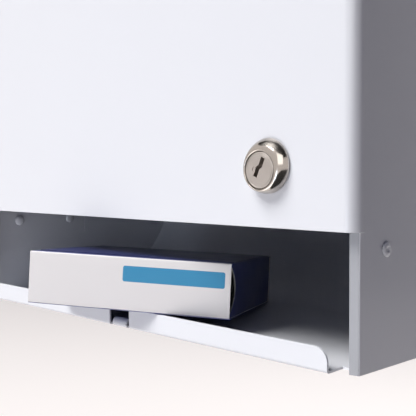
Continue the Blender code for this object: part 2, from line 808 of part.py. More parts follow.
def follower_weight():
    """Steel plate that rides down on the stack, with a handle to lift it by."""
    low = next_carton_top + carton_count * (carton_height + gap) + gap
    high = low + weight_thickness
    middle = (stack_left_x + stack_right_x) / 2
    depth = (stack_front_depth + stack_back_depth) / 2
    block("follower_weight", (stack_left_x + weight_margin, stack_right_x - weight_margin),
          (stack_front_depth + weight_margin, stack_back_depth - weight_margin), (low, high), "zinc_steel")
    foot, top = high + gap, high + weight_handle_height
    half = weight_handle_span / 2
    points = [world(middle - half, depth, foot), world(middle - half, depth, top),
              world(middle + half, depth, top), world(middle + half, depth, foot)]
    tube("follower_handle", points, weight_handle_radius, "zinc_steel")


# Ejector


def ejector():
    """Pusher behind the next carton's left end, and the rack that draws it across."""
    right = stack_left_x - gap
    left = right - pusher_thickness
    low = shelf_height + gap
    front = gear_depth + gear_width + gap
    pusher = block("ejector_pusher", (left, right), (front, stack_back_depth - pusher_short_of_back),
                   (low, low + pusher_height), "zinc_steel")
    arm = block("pusher_arm_guide", (left, left + pusher_arm_width),
                (front, stack_front_depth - magazine_clearance),
                (low + pusher_arm_low, low + pusher_arm_high), "zinc_steel")
    join(pusher, arm)
    pitch = 2 * math.pi * pinion_radius / pinion_teeth
    root, tip = rack_pitch_height + tooth_drop, rack_pitch_height - tooth_rise
    end = knob_x + rack_end_allowance
    stroke = pinion_radius * math.radians(knob_turn)
    count = int((stroke + 2 * rack_end_allowance) / pitch)
    top = rack_pitch_height + rack_height
    leg, leg_low = left + pusher_arm_width, low + pusher_arm_low
    outline = [(leg, root), (leg, leg_low), (left, leg_low), (left, top), (end, top), (end, root)]
    # At rest a tooth space of the rack is straight above the pinion's highest tooth.
    first = math.floor((end - knob_x) / pitch - 0.5)
    slope = math.tan(math.radians(tooth_angle))
    for i in range(count):
        middle = knob_x + (first - i + 0.5) * pitch
        root_half = pitch / 4 + tooth_drop * slope
        tip_half = pitch / 4 - tooth_rise * slope
        outline += [(middle + root_half, root), (middle + tip_half, tip), (middle - tip_half, tip),
                    (middle - root_half, root)]
    prism("ejector_rack", outline, "Y", gear_depth, gear_depth + gear_width, "zinc_steel")


def pinion():
    """Spur pinion on the back of the shaft."""
    pitch = 2 * math.pi / pinion_teeth
    tip, root = pinion_radius + tooth_rise, pinion_radius - tooth_drop
    slope = math.tan(math.radians(tooth_angle))
    outline = []
    for i in range(pinion_teeth):
        middle = -math.pi / 2 + i * pitch
        root_half = pitch / 4 * tooth_share + tooth_drop * slope / root
        tip_half = pitch / 4 * tooth_share - tooth_rise * slope / tip
        for radius, angle in ((root, middle - root_half), (tip, middle - tip_half), (tip, middle + tip_half),
                              (root, middle + root_half)):
            outline.append((knob_x + radius * math.cos(angle), knob_height + radius * math.sin(angle)))
    made = prism("pinion", outline, "Y", gear_depth, gear_depth + gear_width, "brass")
    cut(made, disc("pinion_bore_cut", shaft_radius + gap, world(knob_x, gear_depth, knob_height), "Y",
                   -cut_overrun, gear_width + cut_overrun, "brass", 16))
    set_origin(made, world(knob_x, 0, knob_height))


def rack_guide():
    """Channel that carries the rack, hung from the mechanism plate."""
    low = rack_pitch_height - tooth_rise - rack_guide_play
    right = knob_x - pinion_radius - rack_guide_end_gap
    back = gear_depth + gear_width + rack_guide_play
    front = mechanism_plate_depth + mechanism_plate_thickness + gap
    path = [(front, low + rack_guide_side), (front, low - sheet), (back + sheet, low - sheet),
            (back + sheet, low + rack_guide_side)]
    prism("rack_guide", folded(path, sheet), "X", right - rack_guide_length, right, "zinc_steel")


# Coin mechanism


def mechanism_plate():
    """Sheet across the cabinet behind the coin mechanism, bent back along the right wall."""
    wall = half_inside - gap
    front = mechanism_plate_depth
    thick = mechanism_plate_thickness
    left = stack_right_x + magazine_clearance
    path = [(left, gear_depth - 2 * gap), (left, front), (wall, front), (wall, front + magazine_flange)]
    made = prism("mechanism_plate", folded(path, thick), "Z", mechanism_plate_low, mechanism_plate_high,
                 "zinc_steel")
    cut(made, disc("shaft_hole_cut", shaft_radius + gap, world(knob_x, front, knob_height), "Y",
                   -cut_overrun, thick + cut_overrun, "zinc_steel", 16))


def mechanism_housing():
    """Box round the coin drum, open at the back against the plate."""
    front, back = housing_front_depth, mechanism_plate_depth - gap
    left, right = knob_x - housing_half_width, knob_x + housing_half_width
    made = block("mechanism_housing", (left, right), (front, back), (housing_low, housing_high), "zinc_steel")
    wall = housing_wall
    cut(made, block("housing_inside_cut", (left + wall, right - wall), (front + wall, back + cut_overrun),
                    (housing_low + wall, housing_high - wall), "zinc_steel"))
    centre = world(knob_x, front, knob_height)
    shaft = disc("housing_shaft_cut", shaft_radius + gap, centre, "Y", -cut_overrun, wall + cut_overrun,
                 "zinc_steel", 16)
    slot = block("housing_slot_cut", (knob_x - coin_slot_width, knob_x + coin_slot_width),
                 (front - cut_overrun, front + wall + cut_overrun),
                 (coin_slot_height - coin_slot_length / 2, coin_slot_height + coin_slot_length / 2),
                 "zinc_steel")
    outlet = block("housing_outlet_cut",
                   (knob_x - chute_half_width + chute_wall, knob_x + chute_half_width - chute_wall),
                   (chute_front_depth + chute_wall, chute_back_depth - chute_wall),
                   (housing_low - cut_overrun, housing_low + wall + cut_overrun), "zinc_steel")
    cut(made, shaft, slot, outlet)


def coin_plate():
    """Chromed face plate that stands through the door, with the coin slot and windows."""
    front, back = face_front_depth, housing_front_depth - gap
    low, high = (knob_x - face_half_width, face_low), (knob_x + face_half_width, face_high)
    wall = face_wall
    made = prism("coin_plate", rounded_rectangle(low, high, face_corner_radius), "Y", front, back, "chrome")
    inner = rounded_rectangle((low[0] + wall, low[1] + wall), (high[0] - wall, high[1] - wall),
                              face_corner_radius - wall, 3)
    cut(made, prism("face_inside_cut", inner, "Y", front + wall, back + cut_overrun, "chrome"))
    through = (front - cut_overrun, front + wall + cut_overrun)
    centre = world(knob_x, front, knob_height)
    shaft = disc("face_shaft_cut", shaft_radius + gap, centre, "Y", -cut_overrun, wall + cut_overrun, "chrome",
                 16)
    slot = block("face_slot_cut", (knob_x - coin_slot_width / 2, knob_x + coin_slot_width / 2), through,
                 (coin_slot_height - coin_slot_length / 2, coin_slot_height + coin_slot_length / 2), "chrome")
    neck = return_lever_neck / 2 + gap
    lever = block("face_lever_cut", (return_lever_x - neck, return_lever_x + neck), through,
                  (return_lever_height - return_lever_thickness / 2 - return_lever_travel - gap,
                   return_lever_height + return_lever_thickness / 2 + gap), "chrome")
    cup = block("face_cup_cut", (knob_x - cup_half_width, knob_x + cup_half_width), through,
                (cup_low, cup_high - cup_lip), "chrome")
    cut(made, shaft, slot, lever, cup)


def coin_track():
    """Two cheeks that lead a coin from the slot down to the drum."""
    top = coin_slot_height + coin_slot_length / 2
    front = housing_front_depth + housing_wall + gap
    back = mechanism_plate_depth - gap
    low = top - coin_slot_length - coin_track_height / 2
    half = coin_track_half_width
    path = [(knob_x - half, low), (knob_x - half, top), (knob_x + half, top), (knob_x + half, low)]
    outline = folded(path[::-1], sheet)
    prism("coin_track", outline, "Y", front, back, "brass")


def knob_and_shaft():
    """Vend knob, its shaft and the coin drum that it turns."""
    centre = world(knob_x, 0, knob_height)
    back = face_front_depth - gap
    disc_front = back - knob_disc_thickness
    bevel = knob_disc_thickness / 3
    profile = [(shaft_radius + gap, back), (knob_disc_radius, back), (knob_disc_radius, disc_front + bevel),
               (knob_disc_radius - bevel, disc_front), (shaft_radius + gap, disc_front)]
    knob = turned("vend_knob", profile, centre, "Y", "chrome", 32)
    half_w, half_l = knob_grip_width / 2, knob_grip_length / 2
    grip = prism("knob_grip_guide",
                 rounded_rectangle((knob_x - half_w, knob_height - half_l),
                                   (knob_x + half_w, knob_height + half_l),
                                   half_w * grip_corner_share),
                 "Y", disc_front - knob_grip_height, disc_front + bevel, "chrome")
    # The grip is solid in front of the shaft's end, so it closes the bore there.
    bore = disc("knob_bore_cut", shaft_radius + gap, centre, "Y", disc_front - gap, back + cut_overrun,
                "chrome", 16)
    join(knob, grip)
    cut(knob, bore)
    set_origin(knob, centre)
    end = gear_depth + gear_width + gap
    shaft = disc("knob_shaft", shaft_radius, centre, "Y", disc_front, end, "zinc_steel", 16)
    set_origin(shaft, centre)
    drum = disc("coin_drum", coin_drum_radius, centre, "Y", coin_drum_depth, coin_drum_depth + coin_drum_thickness,
                "brass", 24)
    bore = disc("drum_bore_cut", shaft_radius + gap, centre, "Y", coin_drum_depth - cut_overrun,
                coin_drum_depth + coin_drum_thickness + cut_overrun, "brass", 16)
    pocket = disc("coin_pocket_cut", coin_pocket_radius, world(knob_x, 0, knob_height + coin_pocket_rise), "Y",
                  coin_drum_depth - cut_overrun, coin_drum_depth + coin_pocket_thickness, "brass", 16)
    cut(drum, bore, pocket)
    set_origin(drum, centre)


def spring_case():
    """Cup behind the drum and the flat spiral spring that turns the knob back."""
    centre = world(knob_x, 0, knob_height)
    low, high = spring_case_depth, spring_case_depth + spring_case_length
    radius, wall = spring_case_radius, spring_case_wall
    bore = shaft_radius + gap
    profile = [(bore, low), (radius, low), (radius, high), (radius - wall, high), (radius - wall, low + wall),
               (bore, low + wall)]
    turned("spring_case", profile, centre, "Y", "zinc_steel", 20)
    inner, outer = shaft_radius + gap, radius - wall - gap - spring_strip
    steps = 16 * spring_turns
    walls = [[], []]
    for i in range(steps + 1):
        angle = 2 * math.pi * spring_turns * i / steps
        for k, extra in enumerate((0, spring_strip)):
            reach = inner + (outer - inner) * i / steps + extra
            walls[k].append((knob_x + reach * math.cos(angle), knob_height + reach * math.sin(angle)))
    start = low + wall + gap
    prism("return_spring", walls[0] + walls[1][::-1], "Y", start, start + spring_strip_width, "zinc_steel")


def coin_return():
    """Coin return lever with its coil spring, and the cup for returned coins."""
    x, height = return_lever_x, return_lever_height
    half = return_lever_thickness / 2
    back = face_front_depth + face_wall + gap
    tab = block("return_lever", (x - return_lever_width / 2, x + return_lever_width / 2),
                (face_front_depth - return_lever_proud, face_front_depth - gap), (height - half, height + half),
                "chrome")
    neck = block("lever_neck_guide", (x - return_lever_neck / 2, x + return_lever_neck / 2),
                 (face_front_depth - sheet, back + sheet), (height - half, height + half), "chrome")
    slider_top = height + half
    slider_low = slider_top - return_lever_slider_height
    slider = block("lever_slider_guide", (x - return_lever_width / 2, x + return_lever_width / 2),
                   (back, back + return_lever_slider_thickness), (slider_low, slider_top), "chrome")
    join(tab, neck, slider)
    points = []
    per_turn = 10
    middle = back + return_lever_slider_thickness / 2
    top = slider_low - gap - return_spring_wire
    for i in range(return_spring_turns * per_turn + 1):
        angle = 2 * math.pi * i / per_turn
        share = i / (return_spring_turns * per_turn)
        points.append(world(x + return_spring_radius * math.cos(angle),
                            middle + return_spring_radius * math.sin(angle),
                            top - (return_spring_length - return_spring_wire) * share))
    tube("return_lever_spring", points, return_spring_wire, "zinc_steel", 5)
    seat_top = top - return_spring_length - gap
    block("spring_seat", (x - return_spring_radius - sheet, x + return_spring_radius + sheet),
          (face_front_depth + face_wall + gap, housing_front_depth - gap),
          (seat_top - spring_seat_height, seat_top), "zinc_steel")
    left, right = knob_x - cup_half_width - cup_wall, knob_x + cup_half_width + cup_wall
    front = face_front_depth + face_wall + gap
    back = min(front + cup_depth, housing_front_depth - gap)
    cup = block("coin_return_cup", (left, right), (front, back), (cup_low - cup_wall, cup_high), "zinc_steel")
    hollow = block("cup_inside_cut", (left + cup_wall, right - cup_wall), (front - cut_overrun, back - cup_wall),
                   (cup_low, cup_high + cut_overrun), "zinc_steel")
    cut(cup, hollow)


def coin_chute():
    """Tube that drops the coins from the housing into the box."""
    left, right = knob_x - chute_half_width, knob_x + chute_half_width
    front, back = chute_front_depth, chute_back_depth
    made = block("coin_chute", (left, right), (front, back), (chute_low, housing_low - gap), "zinc_steel")
    cut(made, block("chute_inside_cut", (left + chute_wall, right - chute_wall),
                    (front + chute_wall, back - chute_wall),
                    (chute_low - cut_overrun, housing_low + cut_overrun), "zinc_steel"))


def coin_box():
    """Open tray for the coins, with a wire handle in front, and the shelf it stands on."""
    wall = box_wall
    made = block("coin_box", (box_left_x, box_right_x), (box_front_depth, box_back_depth), (box_low, box_high),
                 "zinc_steel")
    cut(made, block("box_inside_cut", (box_left_x + wall, box_right_x - wall),
                    (box_front_depth + wall, box_back_depth - wall), (box_low + wall, box_high + cut_overrun),
                    "zinc_steel"))
    middle = (box_left_x + box_right_x) / 2
    height = (box_low + box_high) / 2
    half = box_handle_span / 2
    foot = box_front_depth - gap
    out = foot - box_handle_rise
    points = [world(middle - half, foot, height), world(middle - half, out, height),
              world(middle + half, out, height), world(middle + half, foot, height)]
    tube("coin_box_handle", points, box_handle_radius, "zinc_steel")
    top = box_low - gap
    front = box_front_depth - box_shelf_play - sheet
    back = baffle_depth - gap
    outline = [(front, top + box_shelf_lip), (front, top - sheet), (back - sheet, top - sheet),
               (back - sheet, top - magazine_flange), (back, top - magazine_flange), (back, top),
               (front + sheet, top), (front + sheet, top + box_shelf_lip)]
    prism("coin_box_shelf", outline, "X", box_left_x - 2 * sheet, half_inside - gap, "zinc_steel")


def drop_baffle():
    """Wall between the coin side and the space that the cartons fall through."""
    wall = half_inside - gap
    front = baffle_depth
    path = [(baffle_left_x, front), (wall, front), (wall, front + magazine_flange)]
    prism("drop_baffle", folded(path, sheet), "Z", baffle_low, baffle_high, "zinc_steel")


def build():
    for old in list(bpy.data.objects):
        bpy.data.objects.remove(old, do_unlink=True)
    back_panel()
    side_panel("left_side_panel", -1)
    side_panel("right_side_panel", 1)
    top_panel()
    delivery_tray()
    wall_rivets("left_wall_rivet", -1)
    wall_rivets("right_wall_rivet", 1)
    hinges()
    door_panel()
    door_bumpers()
    lock_body()
    lock_nut()
    lock_plug()
    lock_cam()
    lock_strike()
    magazine()
    cartons()
    dispensed_carton()
    follower_weight()
    ejector()
    pinion()
    rack_guide()
    mechanism_plate()
    mechanism_housing()
    coin_plate()
    coin_track()
    knob_and_shaft()
    spring_case()
    coin_return()
    coin_chute()
    coin_box()
    drop_baffle()


build()
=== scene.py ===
import json
import random
from math import acos, cos, pi, radians, sin, tan

import bmesh
import bpy
from mathutils import Matrix, Vector

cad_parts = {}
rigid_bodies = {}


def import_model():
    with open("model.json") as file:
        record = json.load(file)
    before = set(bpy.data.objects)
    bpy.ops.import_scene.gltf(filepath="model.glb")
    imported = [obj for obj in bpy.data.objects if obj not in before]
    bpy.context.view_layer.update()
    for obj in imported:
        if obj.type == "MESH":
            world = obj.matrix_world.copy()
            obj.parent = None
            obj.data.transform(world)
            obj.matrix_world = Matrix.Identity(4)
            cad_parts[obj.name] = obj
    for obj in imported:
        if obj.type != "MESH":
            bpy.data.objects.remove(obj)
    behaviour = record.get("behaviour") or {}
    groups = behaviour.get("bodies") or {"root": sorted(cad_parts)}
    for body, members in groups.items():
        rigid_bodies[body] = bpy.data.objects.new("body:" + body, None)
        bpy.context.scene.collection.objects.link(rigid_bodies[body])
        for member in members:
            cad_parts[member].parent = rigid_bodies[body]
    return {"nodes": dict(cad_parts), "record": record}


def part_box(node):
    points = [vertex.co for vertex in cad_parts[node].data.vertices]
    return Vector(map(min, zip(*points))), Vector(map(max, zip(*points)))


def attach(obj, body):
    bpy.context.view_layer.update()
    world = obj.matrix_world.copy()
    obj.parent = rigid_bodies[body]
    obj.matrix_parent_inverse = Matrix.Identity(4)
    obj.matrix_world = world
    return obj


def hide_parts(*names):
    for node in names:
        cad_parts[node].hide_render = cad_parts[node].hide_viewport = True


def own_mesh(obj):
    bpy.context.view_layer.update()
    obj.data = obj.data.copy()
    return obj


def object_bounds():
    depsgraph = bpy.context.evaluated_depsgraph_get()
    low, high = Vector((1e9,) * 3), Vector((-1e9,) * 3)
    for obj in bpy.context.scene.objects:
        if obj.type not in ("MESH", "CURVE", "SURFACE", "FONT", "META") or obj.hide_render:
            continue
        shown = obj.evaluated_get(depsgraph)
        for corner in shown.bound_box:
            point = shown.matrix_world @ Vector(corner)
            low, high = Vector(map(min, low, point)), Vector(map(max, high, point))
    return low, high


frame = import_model()
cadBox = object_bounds()
scene = bpy.context.scene
mm = 0.001

# Main sizes in mm. Depth runs back from the door's front, height up from the underside.
machine = {"depth": 156.0, "height": 622.0, "halfOutside": 135.2, "halfInside": 134.2, "halfDoor": 136.5,
           "doorBottom": 53.35, "sheet": 1.0, "gap": 0.3}


def at(x, depth, height):
    return Vector((x * mm, (depth - machine["depth"]) * mm, (height - machine["height"] / 2) * mm))


# tools for outlines, all in mm

def polar(cx, cy, radius, angle):
    return cx + radius * cos(angle), cy + radius * sin(angle)


def arc(cx, cy, radius, start, end, steps):
    return [polar(cx, cy, radius, radians(start + (end - start) * i / steps)) for i in range(steps + 1)]


def roundBox(left, bottom, right, top, radius, steps=8):
    points = []
    for i, (cx, cy) in enumerate(((right - radius, bottom + radius), (right - radius, top - radius),
                                  (left + radius, top - radius), (left + radius, bottom + radius))):
        points += arc(cx, cy, radius, 90 * (i - 1), 90 * i, steps)
    return points


def filleted(path, radius, steps=6):
    # rounds the corners of an open path
    out = [Vector(path[0])]
    for i in range(1, len(path) - 1):
        before, here, after = Vector(path[i - 1]), Vector(path[i]), Vector(path[i + 1])
        one, two = (before - here).normalized(), (after - here).normalized()
        half = acos(max(-1, min(1, one.dot(two)))) / 2
        reach = min(radius / tan(half), 0.49 * (before - here).length, 0.49 * (after - here).length)
        centre = here + (one + two).normalized() * (reach * tan(half) / sin(half))
        first, last = here + one * reach - centre, here + two * reach - centre
        turn = first.angle_signed(last)
        out += [centre + Matrix.Rotation(-turn * k / steps, 2) @ first for k in range(steps + 1)]
    out.append(Vector(path[-1]))
    return [tuple(p) for p in out]


def folded(path, thickness):
    # section of a bent sheet: the path, and the same path set in to its left
    inner = []
    for i, point in enumerate(path):
        here = Vector(point)
        ways = []
        if i:
            ways.append((here - Vector(path[i - 1])).normalized())
        if i + 1 < len(path):
            ways.append((Vector(path[i + 1]) - here).normalized())
        sides = [Vector((-w.y, w.x)) for w in ways]
        middle = sum(sides, Vector((0, 0))).normalized()
        inner.append(tuple(here + middle * (thickness / middle.dot(sides[0]))))
    return list(path) + inner[::-1]


# tools for meshes

def linkObject(name, data):
    obj = bpy.data.objects.new(name, data)
    scene.collection.objects.link(obj)
    return obj


def asMesh(name, bm, mats=(), cleanNormals=True):
    if cleanNormals:
        bmesh.ops.recalc_face_normals(bm, faces=bm.faces)
    mesh = bpy.data.meshes.new(name)
    bm.to_mesh(mesh)
    bm.free()
    for mat in mats:
        mesh.materials.append(mat)
    return mesh


def skinned(name, rings, closed=False, mats=()):
    # faces between rings of points; a ring may be one point, and open ends get a face each
    bm = bmesh.new()
    rings = [[bm.verts.new(point) for point in ring] for ring in rings]
    count = max(len(ring) for ring in rings)
    for one, two in zip(rings, rings[1:] + rings[:1] if closed else rings[1:]):
        for i in range(count):
            j = (i + 1) % count
            corners = list(dict.fromkeys((one[i % len(one)], one[j % len(one)],
                                          two[j % len(two)], two[i % len(two)])))
            if len(corners) > 2:
                bm.faces.new(corners)
    for end in () if closed else (rings[0], rings[-1]):
        if len(end) > 2:
            bm.faces.new(end)
    return linkObject(name, asMesh(name, bm, mats))


def settle(obj):
    # modifiers are applied, so the piece is a plain mesh
    bpy.context.view_layer.update()
    done = bpy.data.meshes.new_from_object(obj.evaluated_get(bpy.context.evaluated_depsgraph_get()))
    obj.modifiers.clear()
    obj.data = done
    return obj


def smoothBy(obj, angle=35):
    # large faces keep their own normals, so flat sheet stays flat beside its bends
    obj.data.shade_smooth()
    obj.data.set_sharp_from_angle(angle=radians(angle))
    obj.modifiers.new("evenNormals", "WEIGHTED_NORMAL").keep_sharp = True
    return settle(obj)


def soften(obj, width, segments=2, angle=40):
    # rounds off every crease, as a press or a paint film leaves it
    step = obj.modifiers.new("soften", "BEVEL")
    step.width = width * mm
    step.segments = segments
    step.limit_method = "ANGLE"
    step.angle_limit = radians(angle)
    step.use_clamp_overlap = True
    settle(obj)
    return smoothBy(obj, 38)


def carve(obj, *cutters, operation="DIFFERENCE"):
    # cutters reach a few mm past what they cut, so no face is shared
    for cutter in cutters:
        step = obj.modifiers.new("carve", "BOOLEAN")
        step.operation = operation
        step.solver = "EXACT"
        step.object = cutter
    settle(obj)
    for cutter in cutters:
        bpy.data.objects.remove(cutter, do_unlink=True)
    return obj


def prism(name, outline, axis, low, high, mats=()):
    # X outlines hold (depth, height), Y outlines (x, height) and Z outlines (x, depth)
    spot = {"X": lambda a, b, c: at(c, a, b), "Y": lambda a, b, c: at(a, c, b), "Z": at}[axis]
    return skinned(name, [[spot(a, b, c) for a, b in outline] for c in (low, high)], mats=mats)


def block(name, xs, depths, heights):
    return prism(name, [(xs[0], heights[0]), (xs[1], heights[0]), (xs[1], heights[1]), (xs[0], heights[1])],
                 "Y", *depths)


def bentSheet(name, path, thickness, axis, low, high, bend=1.2, steps=5):
    return prism(name, folded(filleted(path, bend, steps), thickness), axis, low, high)


def turned(name, profile, centre, axis, steps=64, mats=()):
    # profile of (radius, distance) turned about an axis through centre; closed unless it touches the axis
    along = Vector({"X": (1, 0, 0), "Y": (0, 1, 0), "Z": (0, 0, 1)}[axis])
    side = Vector((0, 0, 1)) if axis == "X" else Vector((1, 0, 0))
    other = along.cross(side)
    rings = []
    for radius, distance in profile:
        angles = [2 * pi * i / steps for i in range(steps if radius else 1)]
        rings.append([centre + (along * distance + (side * cos(a) + other * sin(a)) * radius) * mm
                      for a in angles])
    return skinned(name, rings, all(radius > 0 for radius, _ in profile), mats)


def punch(outline, axis, low, high):
    return prism("cut", outline, axis, low, high)


def hole(radius, centre, axis, low, high, steps=64, inner=0):
    # cutter for a round hole, or for a ring around inner
    return turned("cut", [(inner, low), (radius, low), (radius, high), (inner, high)], centre, axis, steps)


def rod(name, points, radius, sides=16):
    # a round bar along many points, with flat ends
    rings = []
    normal = None
    for i, point in enumerate(points):
        way = (points[min(i + 1, len(points) - 1)] - points[max(i - 1, 0)]).normalized()
        if normal is None:
            normal = way.orthogonal()
        normal = (normal - way * normal.dot(way)).normalized()
        other = way.cross(normal)
        angles = [2 * pi * k / sides for k in range(sides)]
        rings.append([point + (normal * cos(a) + other * sin(a)) * radius * mm for a in angles])
    return smoothBy(skinned(name, rings), 60)


def bail(name, middle, span, foot, reach, bend, radius, spot):
    # a bent wire handle; spot turns its place along the bar and its reach into a point
    left, right = middle - span / 2, middle + span / 2
    line = filleted([(left, foot), (left, reach), (right, reach), (right, foot)], bend, 10)
    return rod(name, [spot(a, b) for a, b in line], radius, 20)


def merge(name, *parts):
    # several closed bodies in one object
    bm = bmesh.new()
    for part in parts:
        bm.from_mesh(part.data)
        bpy.data.objects.remove(part, do_unlink=True)
    return smoothBy(linkObject(name, asMesh(name, bm, cleanNormals=False)))


slotOfNode = {s["node"]: s["material_slot"] for s in frame["record"]["subparts"]}


def place(obj, body, slot, *replaced):
    # a piece without a finish of its own gets the one of its slot
    if not obj.data.materials:
        obj.data.materials.append(finishOfSlot[slot])
    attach(obj, body)
    if replaced:
        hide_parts(*replaced)
    return obj


def stand(obj, node):
    # the piece takes the place, the body and the finish of a CAD node
    return place(obj, frame["nodes"][node].parent.name.split(":")[-1], slotOfNode[node], node)


def fit(obj, node, edge=0.2, segments=2, angle=40):
    stand(soften(obj, edge, segments, angle), node)


def nodeBox(node):
    # lowest and highest x, depth and height, in mm
    low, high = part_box(node)
    shift = (0.0, machine["depth"], machine["height"] / 2)
    return [v for k in range(3) for v in (low[k] / mm + shift[k], high[k] / mm + shift[k])]


# tools for materials

def startMaterial(name, **settings):
    mat = bpy.data.materials.new(name)
    mat.use_nodes = True
    shader = mat.node_tree.nodes["Principled BSDF"]
    for key, value in settings.items():
        shader.inputs[key.replace("_", " ")].default_value = value
    return mat, mat.node_tree, shader


def feed(tree, socket, value):
    if hasattr(value, "is_output"):
        tree.links.new(value, socket)
    elif socket.type == "RGBA":
        socket.default_value = (*value, 1.0)
    else:
        socket.default_value = value


def add(tree, kind, inputs=None, **settings):
    made = tree.nodes.new("ShaderNode" + kind)
    for key, value in settings.items():
        setattr(made, key, value)
    for key, value in (inputs or {}).items():
        feed(tree, made.inputs[key], value)
    return made


def grain(tree, scale, detail=3.0, rough=0.5, stretch=(1, 1, 1)):
    mapping = add(tree, "Mapping", {"Vector": add(tree, "TexCoord").outputs["Object"], "Scale": stretch})
    return add(tree, "TexNoise", {"Vector": mapping.outputs[0], "Scale": scale, "Detail": detail,
                                  "Roughness": rough}).outputs[0]


def spread(tree, value, low, high, fromLow=0.3, fromHigh=0.7):
    return add(tree, "MapRange", {"Value": value, "From Min": fromLow, "From Max": fromHigh,
                                  "To Min": low, "To Max": high}).outputs[0]


def blendColour(tree, share, one, two):
    return add(tree, "Mix", {0: share, 6: one, 7: two}, data_type="RGBA").outputs[2]


def doMath(tree, operation, *values):
    return add(tree, "Math", dict(enumerate(values)), operation=operation).outputs[0]


def places(tree, origin=(0, 0, 0)):
    # x, y and z of a spot on the piece, in mm from the origin
    spot = add(tree, "TexCoord").outputs["Object"]
    away = add(tree, "VectorMath", {0: spot, 1: origin}, operation="SUBTRACT").outputs[0]
    apart = add(tree, "SeparateXYZ", {0: away})
    return [doMath(tree, "MULTIPLY", socket, 1000.0) for socket in apart.outputs]


def distance(tree, one, two):
    squares = [doMath(tree, "MULTIPLY", way, way) for way in (one, two)]
    return doMath(tree, "SQRT", doMath(tree, "ADD", *squares))


def rings(tree, centre, pitch, detail):
    # noise in rings about an axis that runs from front to back
    x, _, z = places(tree, at(*centre))
    inputs = {"W": doMath(tree, "DIVIDE", distance(tree, x, z), pitch), "Scale": 1.0, "Detail": detail}
    return add(tree, "TexNoise", inputs, noise_dimensions="1D").outputs[0]


def dress(tree, shader, tone, rough, relief, strength, height):
    tree.links.new(tone, shader.inputs["Base Color"])
    tree.links.new(rough, shader.inputs["Roughness"])
    bump = add(tree, "Bump", {"Height": relief, "Strength": strength, "Distance": height * mm})
    tree.links.new(bump.outputs[0], shader.inputs["Normal"])


# Looks: "clouds" is the scale and detail of the mottling, "share" how far it goes from the first colour to the
# second, "worn" the mottling of the roughness, "grain" the scale, detail, roughness and stretch of the relief,
# "rings" the relief of turned faces (centre, pitch in mm, detail), "bump" its strength and its height in mm
enamelLook = {
    "settings": {"IOR": 1.5, "Coat_Weight": 0.2, "Coat_Roughness": 0.08}, "clouds": (9.0, 4.0),
    "colours": ((0.80, 0.812, 0.85), (0.785, 0.795, 0.83)), "share": (0.0, 0.12), "worn": (60.0, 5.0),
    "rough": (0.24, 0.265), "grain": (520.0, 1.0, 0.3), "bump": (0.05, 0.03),
}
# painted shade: a darker enamel for the front hem of the side walls
hemShadeLook = {**enamelLook, "colours": ((0.36, 0.36, 0.375), (0.34, 0.34, 0.355))}
chromeLook = {
    "settings": {"Metallic": 1.0}, "clouds": (70.0, 6.0, 0.6),
    "colours": ((0.70, 0.71, 0.73), (0.60, 0.60, 0.61)), "share": (0.0, 1.0, 0.45, 0.75),
    "rough": (0.06, 0.16), "grain": (1500.0, 2.0, 0.5, (1, 0.05, 0.08)), "bump": (0.04, 0.01),
}
brassLook = {
    "settings": {"Metallic": 1.0}, "clouds": (90.0, 5.0),
    "colours": ((0.74, 0.55, 0.27), (0.52, 0.37, 0.18)), "share": (0.0, 1.0), "rough": (0.22, 0.42),
    "grain": (1200.0, 2.0, 0.5, (1, 0.05, 1)), "bump": (0.08, 0.02),
}
rubberLook = {
    "settings": {}, "clouds": (200.0, 4.0), "colours": ((0.022, 0.022, 0.024), (0.05, 0.05, 0.052)),
    "share": (0.0, 1.0), "rough": (0.6, 0.85), "grain": (2500.0, 2.0), "bump": (0.15, 0.03),
}
lockCentre = (94.05, 0.0, 76.35)  # mm: x, depth, height
rimLook = {
    "settings": {"Metallic": 1.0}, "clouds": (160.0, 5.0),
    "colours": ((0.56, 0.52, 0.475), (0.47, 0.435, 0.405)), "share": (0.0, 0.6), "rough": (0.11, 0.20),
    "rings": (lockCentre, 0.15, 2.0),
    "bump": (0.05, 0.01),
}
faceLook = {
    "settings": {"Metallic": 1.0}, "colours": ((0.47, 0.435, 0.405), (0.55, 0.515, 0.485)),
    "share": (0.0, 1.0), "worn": (240.0, 4.0), "rough": (0.32, 0.44), "rings": (lockCentre, 0.32, 3.0),
    "bump": (0.07, 0.010),
}


def makeFinish(name, look):
    mat, tree, shader = startMaterial(name, **look["settings"])
    relief = rings(tree, *look["rings"]) if "rings" in look else grain(tree, *look["grain"])
    clouds = grain(tree, *look["clouds"]) if "clouds" in look else relief
    worn = grain(tree, *look["worn"]) if "worn" in look else clouds
    tone = blendColour(tree, spread(tree, clouds, *look["share"]), *look["colours"])
    dress(tree, shader, tone, spread(tree, worn, *look["rough"]), relief, *look["bump"])
    return mat


zincLook = {
    "dull": (0.40, 0.40, 0.42), "bright": (0.54, 0.55, 0.58), "tarnish": (0.50, 0.47, 0.40),
    "clouds": (55.0, 5.0), "spangle": 150.0, "spangleShare": 0.4, "tarnishClouds": (14.0, 3.0),
    "tarnishShare": (0.0, 0.5, 0.5, 0.75), "rough": (0.26, 0.46, 0.3, 1.0),
    "grain": (900.0, 2.0, 0.5, (1, 1, 0.04)), "bump": (0.12, 0.03),
}


def makeZinc():
    look = zincLook
    mat, tree, shader = startMaterial("zincPlate", Metallic=1.0)
    clouds = grain(tree, *look["clouds"])
    spangle = add(tree, "TexVoronoi", {"Vector": add(tree, "TexCoord").outputs["Object"],
                                       "Scale": look["spangle"]}).outputs["Distance"]
    tone = blendColour(tree, spread(tree, clouds, 0.0, 1.0), look["dull"], look["bright"])
    stained = spread(tree, grain(tree, *look["tarnishClouds"]), *look["tarnishShare"])
    uneven = doMath(tree, "ADD", clouds, doMath(tree, "MULTIPLY", spangle, look["spangleShare"]))
    tone = blendColour(tree, stained, tone, look["tarnish"])
    dress(tree, shader, tone, spread(tree, uneven, *look["rough"]), grain(tree, *look["grain"]), *look["bump"])
    return mat


